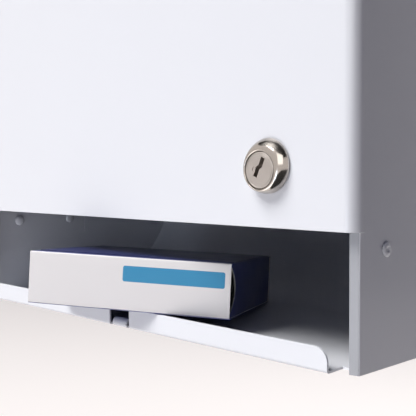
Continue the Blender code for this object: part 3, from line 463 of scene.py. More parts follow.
enamel = makeFinish("bakedEnamel", enamelLook)
thinEnamel = makeFinish("thinEnamel", hemShadeLook)
polishedNickel = makeFinish("polishedNickel", rimLook)
finishOfSlot = {
    "white_enamel": enamel,
    "nickel": makeFinish("turnedNickel", faceLook),
    "zinc_steel": makeZinc(),
    "brass": makeFinish("machinedBrass", brassLook),
    "chrome": makeFinish("polishedChrome", chromeLook),
    "black_rubber": makeFinish("blackRubber", rubberLook),
}
print("finishes made")


# camera, floor and lights

view = {"place": (0.2981, -0.38615, -0.23554), "turnLeft": 45.9, "tipDown": 2.63, "roll": -0.26, "lens": 66.52,
        "sensor": 36.0, "nearest": 0.01}
yaw, pitch, roll = (radians(view[key]) for key in ("turnLeft", "tipDown", "roll"))
look = Vector((-sin(yaw) * cos(pitch), cos(yaw) * cos(pitch), -sin(pitch)))
across = Vector((cos(yaw), sin(yaw), 0))
up = across.cross(look)
rightWay = across * cos(roll) + up * sin(roll)
upWay = up * cos(roll) - across * sin(roll)
cameraData = bpy.data.cameras.new("photoCamera")
cameraData.lens = view["lens"]
cameraData.sensor_width = view["sensor"]
cameraData.clip_start = view["nearest"]
camera = linkObject("photoCamera", cameraData)
facing = Matrix((rightWay, upWay, -look)).transposed().to_4x4()
camera.matrix_world = Matrix.Translation(view["place"]) @ facing
scene.camera = camera
scene.view_settings.view_transform = "Standard"

lamps = {
    "keySoftbox": {"place": (-1.05, -2.23, 3.08), "aim": (0.0, -0.1, -0.22), "size": 2.25, "power": 207.0,
                   "colour": (1.0, 0.99, 0.98)},
    "levelSoftbox": {"place": (0.08, -0.85, -0.4), "aim": (0.0, -0.1, -0.25), "size": 0.25, "power": 0.6,
                     "colour": (0.72, 0.82, 1.0)},
    "lowSoftbox": {"place": (-0.15, -0.7, -0.7), "aim": (0.0, -0.14, -0.25), "size": 0.45, "power": 1.45,
                   "colour": (1.0, 0.99, 0.985)},
    "rearSoftbox": {"place": (-0.35, 1.5, 0.6), "aim": (0.0, -0.08, 0.0), "size": 1.0, "power": 13.0,
                    "colour": (1.0, 0.99, 0.98)},
    "sideSoftbox": {"place": (1.5, 0.35, 0.3), "aim": (0.1, -0.08, 0.0), "size": 0.8, "power": 0.2,
                    "colour": (1.0, 0.90, 0.86)},
}
for name, spec in lamps.items():
    data = bpy.data.lights.new(name, "AREA")
    data.shape = "SQUARE"
    data.size, data.energy, data.color = spec["size"], spec["power"], spec["colour"]
    lamp = linkObject(name, data)
    lamp.visible_camera = False
    aim = Vector(spec["aim"]) - Vector(spec["place"])
    lamp.matrix_world = Matrix.Translation(spec["place"]) @ aim.to_track_quat("-Z", "Y").to_matrix().to_4x4()

studio = {"ambient": (0.008, 0.014, 0.048), "backdrop": (0.80, 0.755, 0.735)}


def looking(tree):
    # 1 for the rays that see, 0 for the rays that only gather light
    path = add(tree, "LightPath")
    return doMath(tree, "MAXIMUM", path.outputs["Is Camera Ray"],
                  doMath(tree, "MAXIMUM", path.outputs["Is Glossy Ray"], path.outputs["Is Transmission Ray"]))


world = bpy.data.worlds.new("paleStudio")
scene.world = world
world.use_nodes = True
tree = world.node_tree
background = tree.nodes["Background"]
feed(tree, background.inputs["Color"], blendColour(tree, looking(tree), studio["ambient"], studio["backdrop"]))
background.inputs["Strength"].default_value = 1.0

# corners in metres; the dark cards and the pale one are seen only in polished surfaces
floorLook = {"colours": ((0.66, 0.63, 0.615), (0.63, 0.60, 0.585)), "clouds": (3.0, 4.0), "share": (0.0, 0.12),
             "rough": 0.6, "drop": 430.0, "half": 4.0, "lift": 0.45}
cardLook = {"colours": ((0.01, 0.01, 0.011), (0.02, 0.02, 0.02)), "clouds": 8.0, "rough": 0.9,
            "glow": (1.0, 0.985, 0.96, 1.0)}
cards = {
    "upperFlag": {"corner": (-0.8, -0.9, 0.5), "along": (2.1, 0, 0), "across": (0, 1.1, 0)},
    "lowerFlag": {"corner": (0.08, -1.4, -0.55), "along": (1.5, 0, 0), "across": (0, 1.5, 0)},
    "rightFlag": {"corner": (0.9, 0.16, -0.5), "along": (0, 1.1, 0), "across": (0, 0, 1.3)},
    "paleFlag": {"corner": (0.26, -1.02, -0.1), "along": (0.55, 0.36, 0), "across": (0, 0.1, 0.5), "glow": 2.0},
}


def flatCard(name, corner, along, over, mat):
    corner, along, over = Vector(corner), Vector(along), Vector(over)
    bm = bmesh.new()
    spots = (corner, corner + along, corner + along + over, corner + over)
    bm.faces.new([bm.verts.new(spot) for spot in spots])
    return linkObject(name, asMesh(name, bm, [mat], cleanNormals=False))


def makeFloor():
    mat, tree, shader = startMaterial("paleFloor", Roughness=floorLook["rough"])
    shares = spread(tree, grain(tree, *floorLook["clouds"]), *floorLook["share"])
    tree.links.new(blendColour(tree, shares, *floorLook["colours"]), shader.inputs["Base Color"])
    # rays that look at the floor see it as pale as the backdrop; the lamps' light and shadows stay on it
    shader.inputs["Emission Color"].default_value = (*studio["backdrop"], 1.0)
    feed(tree, shader.inputs["Emission Strength"], doMath(tree, "MULTIPLY", looking(tree), floorLook["lift"]))
    half, level = floorLook["half"], cadBox[0].z - floorLook["drop"] * mm
    floor = flatCard("floor", (-half, -half, level), (2 * half, 0, 0), (0, 2 * half, 0), mat)


def makeCard(name, spec):
    mat, tree, shader = startMaterial(name, Roughness=cardLook["rough"])
    tree.links.new(blendColour(tree, grain(tree, cardLook["clouds"]), *cardLook["colours"]),
                   shader.inputs["Base Color"])
    shader.inputs["Emission Color"].default_value = cardLook["glow"]
    shader.inputs["Emission Strength"].default_value = spec.get("glow", 0.0)
    card = flatCard(name, spec["corner"], spec["along"], spec["across"], mat)
    card.visible_camera = card.visible_diffuse = card.visible_shadow = card.visible_transmission = False


makeFloor()
for name, spec in cards.items():
    makeCard(name, spec)
print("camera, floor and lamps ready")


# cabinet shell

beyond = 140.0  # mm from the middle, past both side walls
shell = {
    "rear": 154.7,             # where the side walls end
    "top": 620.7, "frontDepth": 4.3, "hem": 3.0, "hemSlant": 0.9, "hemBend": 0.8, "rearFlange": 12.0,
    "bend": 2.4, "edge": 0.22, "topFlange": 12.0, "flangeCut": 1.4, "rivetDepths": (22.4, 60.0),
    "rivetHeight": 45.95, "rivetHole": 2.2, "slotDepths": (71.0, 72.0), "slotCut": 0.6,
    "slotHeights": (36.0, 46.5), "holeRadius": 4.0, "holeSpacing": 120.0, "holeHeights": (150.0, 590.0),
}
# rivet sections of (radius, distance): the collar and its pulled pin outside the wall, the dome inside it
rivetOutside = ((0, 0.15), (0.75, 0.15), (1.0, 0.35), (1.2, 0.66), (1.5, 0.7), (2.5, 0.6), (2.9, 0.3), (3.0, 0),
                (1.9, 0))
rivetDome = {"shank": 1.9, "radius": 3.2, "rise": 1.6, "angles": range(12, 90, 13), "lift": 0.3}


def makeSidePanel(name, side):
    outer, inner = machine["halfOutside"], machine["halfInside"]
    back, front = shell["rear"], shell["frontDepth"]
    # the front edge is folded in at a slant
    path = [(inner - shell["hem"], front), (outer, front + shell["hemSlant"]), (outer, back),
            (inner - shell["rearFlange"], back)]
    hem = filleted(path[:3], shell["hemBend"], 4)[:-1]
    section = folded(hem + filleted([hem[-1], *path[2:]], shell["bend"], 6)[1:], machine["sheet"])
    panel = prism(name, [(side * x, depth) for x, depth in section], "Z", 0, shell["top"], [enamel])
    walls = sorted((side * (inner - 2), side * (outer + 2)))
    cutters = [hole(shell["rivetHole"], at(0, depth, shell["rivetHeight"]), "X", *walls, 32)
               for depth in shell["rivetDepths"]]
    groove = sorted((side * (inner - 1), side * (inner + shell["slotCut"])))
    carve(panel, *cutters, block("cut", groove, shell["slotDepths"], shell["slotHeights"]))
    soften(panel, shell["edge"])
    # the hem's front gets a darker enamel than the rest: painted shade, standing in for the hem turning away
    # from the light
    panel.data.materials.append(thinEnamel)
    for face in panel.data.polygons:
        if face.normal.y < -0.8 and face.center.y < at(0, front + shell["hemSlant"] + 1, 0).y:
            face.material_index = 1
    stand(panel, name)


def makeRivet(name, side, depth):
    outside, inside = machine["halfOutside"] + rivetDome["lift"], machine["halfInside"] - rivetDome["lift"]
    r, rise = rivetDome["radius"], rivetDome["rise"]
    profile = [(p, outside + d) for p, d in rivetOutside] + [(rivetDome["shank"], inside), (r, inside)]
    profile += [(r * cos(radians(a)), inside - rise * sin(radians(a)))
                for a in rivetDome["angles"]]
    profile.append((0, inside - rise))
    centre = at(0, depth, shell["rivetHeight"])
    stand(smoothBy(turned(name, [(p, side * d) for p, d in profile], centre, "X", 48), 50), name)


def makeTopPanel():
    top, front, half = machine["height"], shell["frontDepth"], machine["halfOutside"]
    path = [(shell["rear"], top), (front, top), (front, top - shell["topFlange"])]
    panel = bentSheet("topLid", path, machine["sheet"], "X", -half, half, shell["bend"])
    inner = machine["halfInside"] - shell["hem"] - machine["gap"]
    carve(panel, *[block("cut", sorted((side * inner, side * beyond)), (front - 2, front + shell["flangeCut"]),
                         (top - shell["topFlange"] - 2, top - shell["bend"])) for side in (-1, 1)])
    fit(panel, "top_panel", shell["edge"])


def makeBackPanel():
    half, back = machine["halfOutside"], machine["depth"]
    panel = block("backSheet", (-half, half), (back - machine["sheet"], back), (0, machine["height"]))
    spots = [(side * shell["holeSpacing"] / 2, height) for height in shell["holeHeights"] for side in (-1, 1)]
    carve(panel, *[hole(shell["holeRadius"], at(x, back, height), "Y", -3, 3, 48) for x, height in spots])
    fit(panel, "back_panel", shell["edge"])


for sideName, side in (("left", -1), ("right", 1)):
    makeSidePanel(f"{sideName}_side_panel", side)
for sideName, side in (("left", -1), ("right", 1)):
    for i, depth in enumerate(shell["rivetDepths"]):
        makeRivet(f"{sideName}_wall_rivet_{i + 1}", side, depth)
makeTopPanel()
makeBackPanel()
print("cabinet shell made")


# delivery tray

tray = {
    "front": -0.9, "lipHeight": 9.85, "lipEnd": 125.0, "lipCorner": 6.0, "cornerCut": 8.9, "bend": 1.5,
    "rise": 2.35, "scoopDepth": 88.4, "scoopRadius": 60.0, "scoopTop": 75.0, "rear": 153.4,
    "halfWidth": 133.9, "notch": 7.7, "notchX": -1.6, "notchRound": 1.6, "notchDepth": 1.5, "tabHalf": 5.3,
    "tabRadius": 2.9, "tabFoot": 6.0, "edge": 0.22,
}


def makeTray():
    front, top, radius = tray["front"], tray["lipHeight"], tray["scoopRadius"]
    bend = arc(front + tray["bend"], tray["bend"], tray["bend"], 180, 270, 8)
    rise = arc(tray["scoopDepth"], tray["rise"] + radius, radius, 270, 360, 48)
    path = [(front, top), *bend, *rise, (rise[-1][0], tray["scoopTop"]), (tray["rear"], tray["scoopTop"])]
    sheet = prism("trayPan", folded(path, machine["sheet"]), "X", -tray["halfWidth"], tray["halfWidth"])
    cutters = []
    end, r = tray["lipEnd"], tray["lipCorner"]
    for side in (-1, 1):
        outline = [(end - r, top + 2), *arc(end - r, top - r, r, 90, 0, 10), (end, -2), (beyond, -2),
                   (beyond, top + 2)]
        cutters.append(punch([(side * x, z) for x, z in outline], "Y", front - 2, tray["cornerCut"]))
    half, r, x = tray["notch"], tray["notchRound"], tray["notchX"]
    outline = [(-half, -2), (half, -2), *arc(half + r, top - r, r, 180, 90, 6), (half + r, top + 2),
               (-half - r, top + 2), *arc(-half - r, top - r, r, 90, 0, 6)]
    cutters.append(punch([(x + a, z) for a, z in outline], "Y", front - 2, tray["notchDepth"]))
    carve(sheet, *cutters)
    curl = arc(front + tray["tabRadius"], tray["bend"], tray["tabRadius"], 100, 180, 14)
    tab = prism("tab", folded([*curl, *bend[1:], (tray["tabFoot"], 0)], machine["sheet"]), "X",
                x - tray["tabHalf"], x + tray["tabHalf"])
    carve(sheet, tab, operation="UNION")
    fit(sheet, "delivery_tray", tray["edge"])


makeTray()
print("delivery tray made")


# door

door = {
    "corner": 5.0, "returnDepth": 6.5, "hemDepths": (0.85, 3.8), "hemHalf": 126.0, "lockHole": 8.7,
    "window": (25.5, 209.5, 94.5, 344.5), "windowRound": 8.5, "edge": 0.3,
}
bumper = {"x": 100.0, "depth": 1.3, "height": 616.0, "profile": (
    (0, 0), (4.0, 0), (4.0, 1.8), (3.7, 2.35), (3.1, 2.7), (1.2, 2.7), (1.0, 2.2), (0, 2.2))}


def makeDoor():
    half, r, back = machine["halfDoor"], door["corner"], door["returnDepth"]
    corners = arc(-half + r, r, r, 180, 270, 14) + arc(half - r, r, r, 270, 360, 14)
    path = [(-half, back), *corners, (half, back)]
    low, high = machine["doorBottom"], machine["height"]
    skin = prism("doorSkin", folded(path, machine["sheet"]), "Z", low, high)
    carve(skin, hole(door["lockHole"], at(*lockCentre), "Y", -3, 3),
          punch(roundBox(*door["window"], door["windowRound"], 10), "Y", -3, 3))
    fit(skin, "door_panel", door["edge"])
    for name, z in (("doorHemLow", low), ("doorHemHigh", high - 1)):
        hem = block(name, (-door["hemHalf"], door["hemHalf"]), door["hemDepths"], (z, z + 1))
        place(soften(hem, 0.2), "door", "white_enamel")


makeDoor()
for name, side in (("door_bumper_left", -1), ("door_bumper_right", 1)):
    foot = turned(name, bumper["profile"], at(side * bumper["x"], bumper["depth"], bumper["height"]), "Y", 48)
    stand(smoothBy(foot), name)
print("door made")


# lock

lock = {
    "rimRadius": 11.1,
    "rimShift": (1.3, 1.7),        # mm right of and above the plug's axis
    "rimHeight": 0.5, "rimLean": 28.0, "domeSteps": 18, "height": 4.5, "mouth": 8.05, "bore": 7.6,
    "recess": 0.25, "barrel": 8.4, "barrelLength": 20.0, "gap": 0.3, "steps": 128, "plugRadius": 7.3,
    "keyTurn": 24.0, "keyShift": (-0.1, 1.2), "keyHalfLength": 4.3,
    "keyLeft": (-1.45, -0.55),     # the slot's sides below and above its kink
    "keyRight": (0.55, 1.45), "keyDepth": 5.0, "pinAt": (-2.5, 0.4), "pinRing": (0.85, 1.15),
    "pinDepth": 0.35,
}
# the plug's face as distance in from its edge and depth: a fine groove, then the rounded edge
plugFace = ((0.95, 0), (0.85, 0.12), (0.65, 0.12), (0.55, 0), (0.2, 0), (0, 0.2))


def makeLockBody():
    # a dome whose rim lies a little above and to the right of the plug
    x, _, height = lockCentre
    gap, r, base = lock["gap"], lock["rimRadius"], lock["gap"] + lock["rimHeight"]
    back, bore, top = -lock["barrelLength"], lock["bore"], lock["height"]
    spans = [(bore, back, 0.0), (lock["barrel"], back, 0.0), (lock["barrel"], gap, 0.0), (r - 0.2, gap, 1.0),
             (r, gap + 0.2, 1.0), (r, base, 1.0)]
    start = radians(lock["rimLean"])
    for i in range(1, lock["domeSteps"] + 1):
        angle = start + (pi / 2 - start) * i / lock["domeSteps"]
        share = cos(angle) / cos(start)
        climb = (sin(angle) - sin(start)) / (1 - sin(start))
        spans.append((lock["mouth"] + (r - lock["mouth"]) * share, base + (top - base) * climb, share))
    spans += [(bore + 0.2, top - 0.08, 0.0), (bore, top - 0.3, 0.0), (bore, top - lock["recess"] - 1, 0.0)]
    shiftX, shiftZ = lock["rimShift"]
    loops = [[at(a, -proud, b) for a, b in
              arc(x + shiftX * share, height + shiftZ * share, radius, 0, 360, lock["steps"])[:-1]]
             for radius, proud, share in spans]
    body = skinned("lockBezel", loops, True, [polishedNickel])
    stand(smoothBy(body, 50), "lock_body")


def makeLockPlug():
    x, _, height = lockCentre
    front = lock["recess"] - lock["height"]
    r, end = lock["plugRadius"], lock["barrelLength"] + lock["gap"]
    face = [(r - edge, front + deep) for edge, deep in plugFace]
    plug = turned("lockPlug", [(0, front), *face, (r, end), (0, end)], at(*lockCentre), "Y", 96)
    half = lock["keyHalfLength"]
    (leftLow, leftHigh), (rightLow, rightHigh) = lock["keyLeft"], lock["keyRight"]
    outline = [(leftLow, -half), (rightLow, -half), (rightLow, -0.7), (rightHigh, 0.5), (rightHigh, half),
               (leftHigh, half), (leftHigh, 0.8), (leftLow, -0.4)]
    turn = Matrix.Rotation(radians(-lock["keyTurn"]), 2)
    shift = Vector((x, height)) + Vector(lock["keyShift"])
    slot = punch([turn @ Vector(spot) + shift for spot in outline], "Y", front - 2, front + lock["keyDepth"])
    # the half ring of the pin beside the slot
    inner, outer = lock["pinRing"]
    ring = hole(outer, at(x + lock["pinAt"][0], 0, height + lock["pinAt"][1]), "Y", front - 1,
                front + lock["pinDepth"], 40, inner)
    carve(plug, slot, ring)
    stand(smoothBy(plug, 30), "lock_plug")


makeLockBody()
makeLockPlug()
print("lock made")


# cartons

carton = {
    "size": (101.7, 84.3, 25.3), "board": 0.45, "corner": 0.7,
    "crown": 0.35,             # how far the long panels swell
    "wave": 0.12, "tuck": 0.55, "lengthSteps": 48, "panelSteps": 12, "endInset": 0.45,
    "endGap": (0.15, 0.12),    # beside the end panels, in depth and in height
    "slit": 12.0,              # the gap beside the front where an end panel bows away
    "dip": 0.5, "belly": 0.35, "flapDepths": (-33.65, 40.65), "flapLevels": (0.02, 0.3), "sharp": 40.0,
}
boardLook = {
    "front": ((0.83, 0.80, 0.79), (0.84, 0.81, 0.80)),
    "navy": ((0.026, 0.032, 0.125), (0.037, 0.046, 0.165)), "raw": ((0.62, 0.60, 0.57), (0.74, 0.72, 0.69)),
    "share": {"front": (0.0, 0.4), "navy": (0.0, 0.6), "raw": (0.0, 1.0)},
    "rough": {"front": (0.36, 0.5), "navy": (0.30, 0.40), "raw": (0.7, 0.85)}, "clouds": (45.0, 3.0),
    "fibres": (700.0, 5.0, 0.65), "bump": (0.10, 0.03), "blue": (0.030, 0.27, 0.49),
    "paintedLightNavy": (0.040, 0.070, 0.36),   # painted light: the navy is lighter beside the front, where light falls on it
    "band": (0.85, 0.0, -41.2, -37.0),  # its share, and where it fades, in mm from the middle
    "stripe": (-1.6, 48.2, 1.2, 8.6),   # left, right, bottom and top of the blue stripe on the front, mm
    "stripeRound": 1.0, "stripeBlur": 0.05, "lowEdge": (1.0, 0.0, -12.35, -12.15),
    "lowWobble": (20.0, 0.15),
}


def boxMask(tree, x, z, left, right, bottom, top):
    # 1 inside a rectangle with round corners, 0 outside
    radius, blur = boardLook["stripeRound"], boardLook["stripeBlur"]
    past = []
    for way, low, high in ((x, left, right), (z, bottom, top)):
        away = doMath(tree, "ABSOLUTE", doMath(tree, "SUBTRACT", way, (low + high) / 2))
        past.append(doMath(tree, "MAXIMUM", doMath(tree, "SUBTRACT", away, (high - low) / 2 - radius), 0.0))
    return spread(tree, distance(tree, *past), 1.0, 0.0, radius - blur, radius + blur)


def makeBoard(name, kind):
    # coated board; "front" is white with the stripe, "navy" is the rest of the box, "raw" its cut edges
    mat, tree, shader = startMaterial(name)
    fibres, clouds = grain(tree, *boardLook["fibres"]), grain(tree, *boardLook["clouds"])
    x, y, z = places(tree)
    tone = blendColour(tree, spread(tree, fibres if kind == "raw" else clouds, *boardLook["share"][kind]),
                       *boardLook[kind])
    if kind == "navy":
        # painted light: the navy lightens towards the front edge
        tone = blendColour(tree, spread(tree, y, *boardLook["band"]), tone, boardLook["paintedLightNavy"])
    if kind == "front":
        tone = blendColour(tree, boxMask(tree, x, z, *boardLook["stripe"]), tone, boardLook["blue"])
        scale, reach = boardLook["lowWobble"]
        wobble = doMath(tree, "ADD", z, spread(tree, grain(tree, scale), -reach, reach))
        tone = blendColour(tree, spread(tree, wobble, *boardLook["lowEdge"]), tone, boardLook["navy"][0])
    dress(tree, shader, tone, spread(tree, clouds, *boardLook["rough"][kind]), fibres, *boardLook["bump"])
    return mat


boards = [makeBoard("cartonFront", "front"), makeBoard("cartonNavy", "navy"), makeBoard("cartonEdge", "raw")]
frontBoard, navyBoard, rawBoard = range(3)


def cartonMesh(seed):
    # a sleeve of board with crowned panels, a tucked panel in each end and a glued flap on top
    width, depth, height = carton["size"]
    hw, hd, hh = width / 2, depth / 2, height / 2
    t, r = carton["board"], carton["corner"]
    phase = random.Random(seed).uniform(0, 6.28)
    bm = bmesh.new()

    def bulge(u, v):
        swell = max(0.0, sin(pi * u)) ** 0.7 * max(0.0, 1 - v * v)
        return (carton["crown"] + carton["wave"] * sin(5 * u + phase)) * swell

    def band(one, two, slots):
        for k, slot in enumerate(slots):
            j = (k + 1) % len(one)
            bm.faces.new((one[k], one[j], two[j], two[k])).material_index = slot

    def doubleSheet(rows, cols, spots, rimSlot):
        # two sheets of points that are joined round their rims
        rims = []
        for spot in spots:
            sheet = [[bm.verts.new(Vector(spot(a / (rows - 1), b / (cols - 1))) * mm) for b in range(cols)]
                     for a in range(rows)]
            for one, two in zip(sheet, sheet[1:]):
                for b in range(cols - 1):
                    bm.faces.new((one[b], one[b + 1], two[b + 1], two[b])).material_index = navyBoard
            rims.append([*sheet[0], *[row[-1] for row in sheet[1:]], *sheet[-1][-2::-1],
                         *[row[0] for row in sheet[-2:0:-1]]])
        band(*rims, [rimSlot] * len(rims[0]))

    # round the sleeve: panel 0 is the underside, 1 the back, 2 the top and 3 the front
    ring = []
    panelSteps = carton["panelSteps"]
    starts = ((hd - r, -hh), (hd, hh - r), (-hd + r, hh), (-hd, -hh + r))
    for panel, (wayY, wayZ) in enumerate(((-1, -1), (1, -1), (1, 1), (-1, 1))):
        corner = arc(wayY * (hd - r), wayZ * (hh - r), r, 180 + 90 * panel, 270 + 90 * panel, 4)
        ring += [(p, 3 if panel == 0 and i < 2 else panel) for i, p in enumerate(corner)]
        last, after = Vector(corner[-1]), Vector(starts[panel])
        ring += [(tuple(last.lerp(after, k / panelSteps)), panel) for k in range(1, panelSteps)]

    def sleeveLoop(u, inset):
        loop = []
        for (y, z), panel in ring:
            upright = panel in (1, 3)
            out = (bulge(u, z / hh if upright else y / hd) - inset) * (1 if panel in (1, 2) else -1)
            y, z = (y + out, z * (1 - inset / hh)) if upright else (y * (1 - inset / hd), z + out)
            if panel == 3:
                # the lower edge of the front tucks in towards the right
                y += carton["tuck"] * max(0.0, -z / hh) ** 3 * u ** 1.5
            loop.append(bm.verts.new(((width * u - hw) * mm, y * mm, z * mm)))
        return loop

    steps = carton["lengthSteps"]
    outside, inside = ([sleeveLoop(i / steps, inset) for i in range(steps + 1)] for inset in (0, t))
    for one, two in zip(outside, outside[1:]):
        band(one, two, [frontBoard if panel == 3 else navyBoard for _, panel in ring])
    for one, two in zip(inside, inside[1:]):
        band(one, two, [rawBoard] * len(ring))
    for end in (0, -1):
        band(outside[end], inside[end], [rawBoard if panel == 3 else navyBoard for _, panel in ring])

    def endPanel(side, deep):
        # bowed at its front edge, so a dark slit stands open beside the front
        gapY, gapZ = carton["endGap"]

        def spot(a, w):
            v = a * 2 - 1
            bow = (1 - v * v) * (1.0 if side > 0 else 0.4)
            edge = carton["slit"] * bow
            belly = carton["belly"] * (1 - v * v) * sin(pi * min(1, w * 1.1 + 0.05))
            dip = carton["dip"] * bow * (1 - w) ** 4
            return (side * (hw - deep + belly - dip),
                    -hd + t + gapY + edge + (depth - 2 * t - 2 * gapY - edge) * w, v * (hh - t - gapZ))
        return spot

    def flap(level):
        near, far = carton["flapDepths"]

        def spot(a, b):
            x, y = 1 - hw + (width - 2) * b, near + (far - near) * a
            return x, y, hh + bulge((x + hw) / width, y / hd) + level
        return spot

    inset = carton["endInset"]
    for side in (-1, 1):
        doubleSheet(15, 13, [endPanel(side, inset), endPanel(side, inset + t)], rawBoard)
    doubleSheet(14, 25, [flap(level) for level in carton["flapLevels"]], navyBoard)
    mesh = asMesh("cartonMesh", bm, boards)
    mesh.shade_smooth()
    mesh.set_sharp_from_angle(angle=radians(carton["sharp"]))
    return mesh


lying = {"centre": (-6.9, 28.2, 20.75), "turns": ((29.24, "Z"), (-3.71, "X"), (1.98, "Y"))}
stack = {"left": -129.2, "front": 62.5, "shelf": 223.4, "count": 8, "gap": 0.3}


def makeCartons():
    meshes = [cartonMesh(seed) for seed in (3, 8, 15)]
    lie = linkObject("dispensedCarton", meshes[0])
    pose = Matrix.Translation(at(*lying["centre"]))
    for angle, axis in lying["turns"]:
        pose = pose @ Matrix.Rotation(radians(angle), 4, axis)
    lie.matrix_world = pose
    place(lie, "tray_carton", "carton_board", "dispensed_carton")
    width, depth, height = carton["size"]
    gap = stack["gap"]
    names = ["next_carton"] + [f"stock_carton_{i + 1}" for i in range(stack["count"])]
    for i, name in enumerate(names):
        box = linkObject(name + ".board", meshes[i % len(meshes)])
        level = stack["shelf"] + gap + height / 2 + i * (height + gap)
        box.matrix_world = Matrix.Translation(at(stack["left"] + width / 2, stack["front"] + depth / 2, level))
        place(box, "stock" if i else "shelf_carton", "carton_board", name)


makeCartons()
print("cartons made")


# hinge

hinge = {
    "x": -137.1, "depth": 8.4, "barrel": 1.6, "bore": 1.15, "round": 0.2, "pin": 0.85, "low": 57.35,
    "high": 618.0, "knuckles": 11, "knuckleGap": 0.15,
    "head": ((0, -0.55), (1.02, -0.45), (1.53, -0.2), (1.7, 0.0), (0, 0.0)),
    "headShift": 1.2, "pinHead": ((1.6, 0), (1.6, 0.8), (1.2, 1.15), (0, 1.2)),
    "cabinet": {"first": 0, "plateX": (-136.3, -135.5), "plate": (10.3, 21.4), "bridge": (8.98, 11.3)},
    "door": {"first": 1, "plateX": (-137.6, -136.8), "plate": (1.0, 6.5), "bridge": (5.5, 7.02)},
}


def knuckleSpan(i):
    pitch = (hinge["high"] - hinge["low"]) / hinge["knuckles"]
    start, gap = hinge["low"] + pitch * i, hinge["knuckleGap"]
    return start + gap, start + pitch - gap


def makeHinge():
    low, high = knuckleSpan(0)[0], knuckleSpan(hinge["knuckles"] - 1)[1]
    centre = at(hinge["x"], hinge["depth"], 0)
    r, e, bore = hinge["barrel"], hinge["round"], hinge["bore"]
    for body in ("cabinet", "door"):
        spec = hinge[body]
        parts = [soften(block("leaf", spec["plateX"], spec["plate"], (low, high)), 0.15)]
        for i in range(spec["first"], hinge["knuckles"], 2):
            a, b = knuckleSpan(i)
            parts.append(soften(block("bridge", spec["plateX"], spec["bridge"], (a, b)), 0.1))
            profile = [(bore, a), (r - e, a), (r, a + e), (r, b - e), (r - e, b), (bore, b)]
            parts.append(turned("knuckle", profile, centre, "Z", 28))
            if body == "cabinet":
                middle = at(spec["plateX"][0], sum(spec["plate"]) / 2 + hinge["headShift"], (a + b) / 2)
                parts.append(turned("head", hinge["head"], middle, "X", 24))
        stand(merge(f"hinge_leaf_{body}", *parts), f"hinge_leaf_{body}")
    pin, end, top = hinge["pin"], low - 0.3, high + 0.3
    profile = [(0, end), (pin - e, end), (pin, low), (pin, top)]
    profile += [(p, top + rise) for p, rise in hinge["pinHead"]]
    stand(smoothBy(turned("hinge_pin.steel", profile, centre, "Z", 28)), "hinge_pin")


makeHinge()
print("hinge made")


# coin plate, knob, return lever and cup

coin = {
    "x": 60.0, "knobHeight": 250.0, "plate": (28.0, 212.0, 92.0, 342.0), "front": -4.0, "back": 11.7,
    "wall": 2.5, "corner": 6.0, "gap": 0.3, "shaft": 4.0, "shaftEnd": ((4.0, 56.2), (3.6, 56.6), (0, 56.6)),
    "slotHeight": 312.0, "slotHalf": (1.3, 13.5), "cupWindow": (44.0, 216.5, 76.0, 228.5, 2.5, 6),
    "panel": (35.0, 286.0, 85.0, 335.0, 4, 8),   # pressed into the face round the slot and the lever
    "panelDeep": 0.6,
    "frameOutside": (6.0, 17.5, 5.9),            # halves and corner of the slot's raised frame
    "frameInside": (1.7, 14.0, 1.6), "frameDepths": (-0.4, 0.9),
}
lever = {"x": 80.0, "height": 306.0, "half": 4.0, "thick": 5.0, "proud": 7.0, "neck": 1.7, "travel": 8.0,
         "track": 2.0, "sliderHeight": 14.0, "sliderThick": 7.0, "dish": 0.9}
knob = {"radius": 20.0, "thickness": 5.0, "halfLength": 18.0, "halfWidth": 4.5, "gripHeight": 13.0, "mark": 0.5,
        "scallops": 24, "scallopSteps": 8, "scallopDip": 0.45,
        "levels": ((0.0, 0.0), (0.1, 0.35), (0.8, 1.1), (0.93, 1.5), (1.0, 2.3))}
cup = {"thick": 1.2, "bend": 3.5, "round": 3.0}


def boxRound(x, height, halfX, halfZ, radius, steps):
    return roundBox(x - halfX, height - halfZ, x + halfX, height + halfZ, radius, steps)


def makeCoinPlate():
    left, low, right, high = coin["plate"]
    front, wall, r, gap = coin["front"], coin["wall"], coin["corner"], coin["gap"]
    x, slotHeight = coin["x"], coin["slotHeight"]
    body = prism("coinPlate", roundBox(*coin["plate"], r, 10), "Y", front, coin["back"])
    trackLow, trackHigh = (lever["height"] + way * (lever["thick"] / 2 + gap) for way in (-1, 1))
    trackLeft, trackRight = lever["x"] - lever["track"], lever["x"] + lever["track"]
    track = roundBox(trackLeft, trackLow - lever["travel"], trackRight, trackHigh, 0.8, 4)
    inside = roundBox(left + wall, low + wall, right - wall, high - wall, r - wall, 8)
    cutters = [punch(inside, "Y", front + wall, coin["back"] + 2),
               hole(coin["shaft"] + gap, at(x, front, coin["knobHeight"]), "Y", -3, 4, 48)]
    cutters += [punch(outline, "Y", front - 2, front + wall + 2) for outline in
                (boxRound(x, slotHeight, *coin["slotHalf"], 1.2, 5), track, roundBox(*coin["cupWindow"]))]
    carve(body, *cutters, punch(roundBox(*coin["panel"]), "Y", front - 2, front + coin["panelDeep"]))
    soften(body, 0.4, 3)
    rim = prism("slotFrame", boxRound(x, slotHeight, *coin["frameOutside"], 10), "Y",
                *(front + depth for depth in coin["frameDepths"]))
    carve(rim, punch(boxRound(x, slotHeight, *coin["frameInside"], 6), "Y", front - 3, front + 3))
    soften(rim, 0.35, 3)
    stand(merge("coinFacePlate", body, rim), "coin_plate")


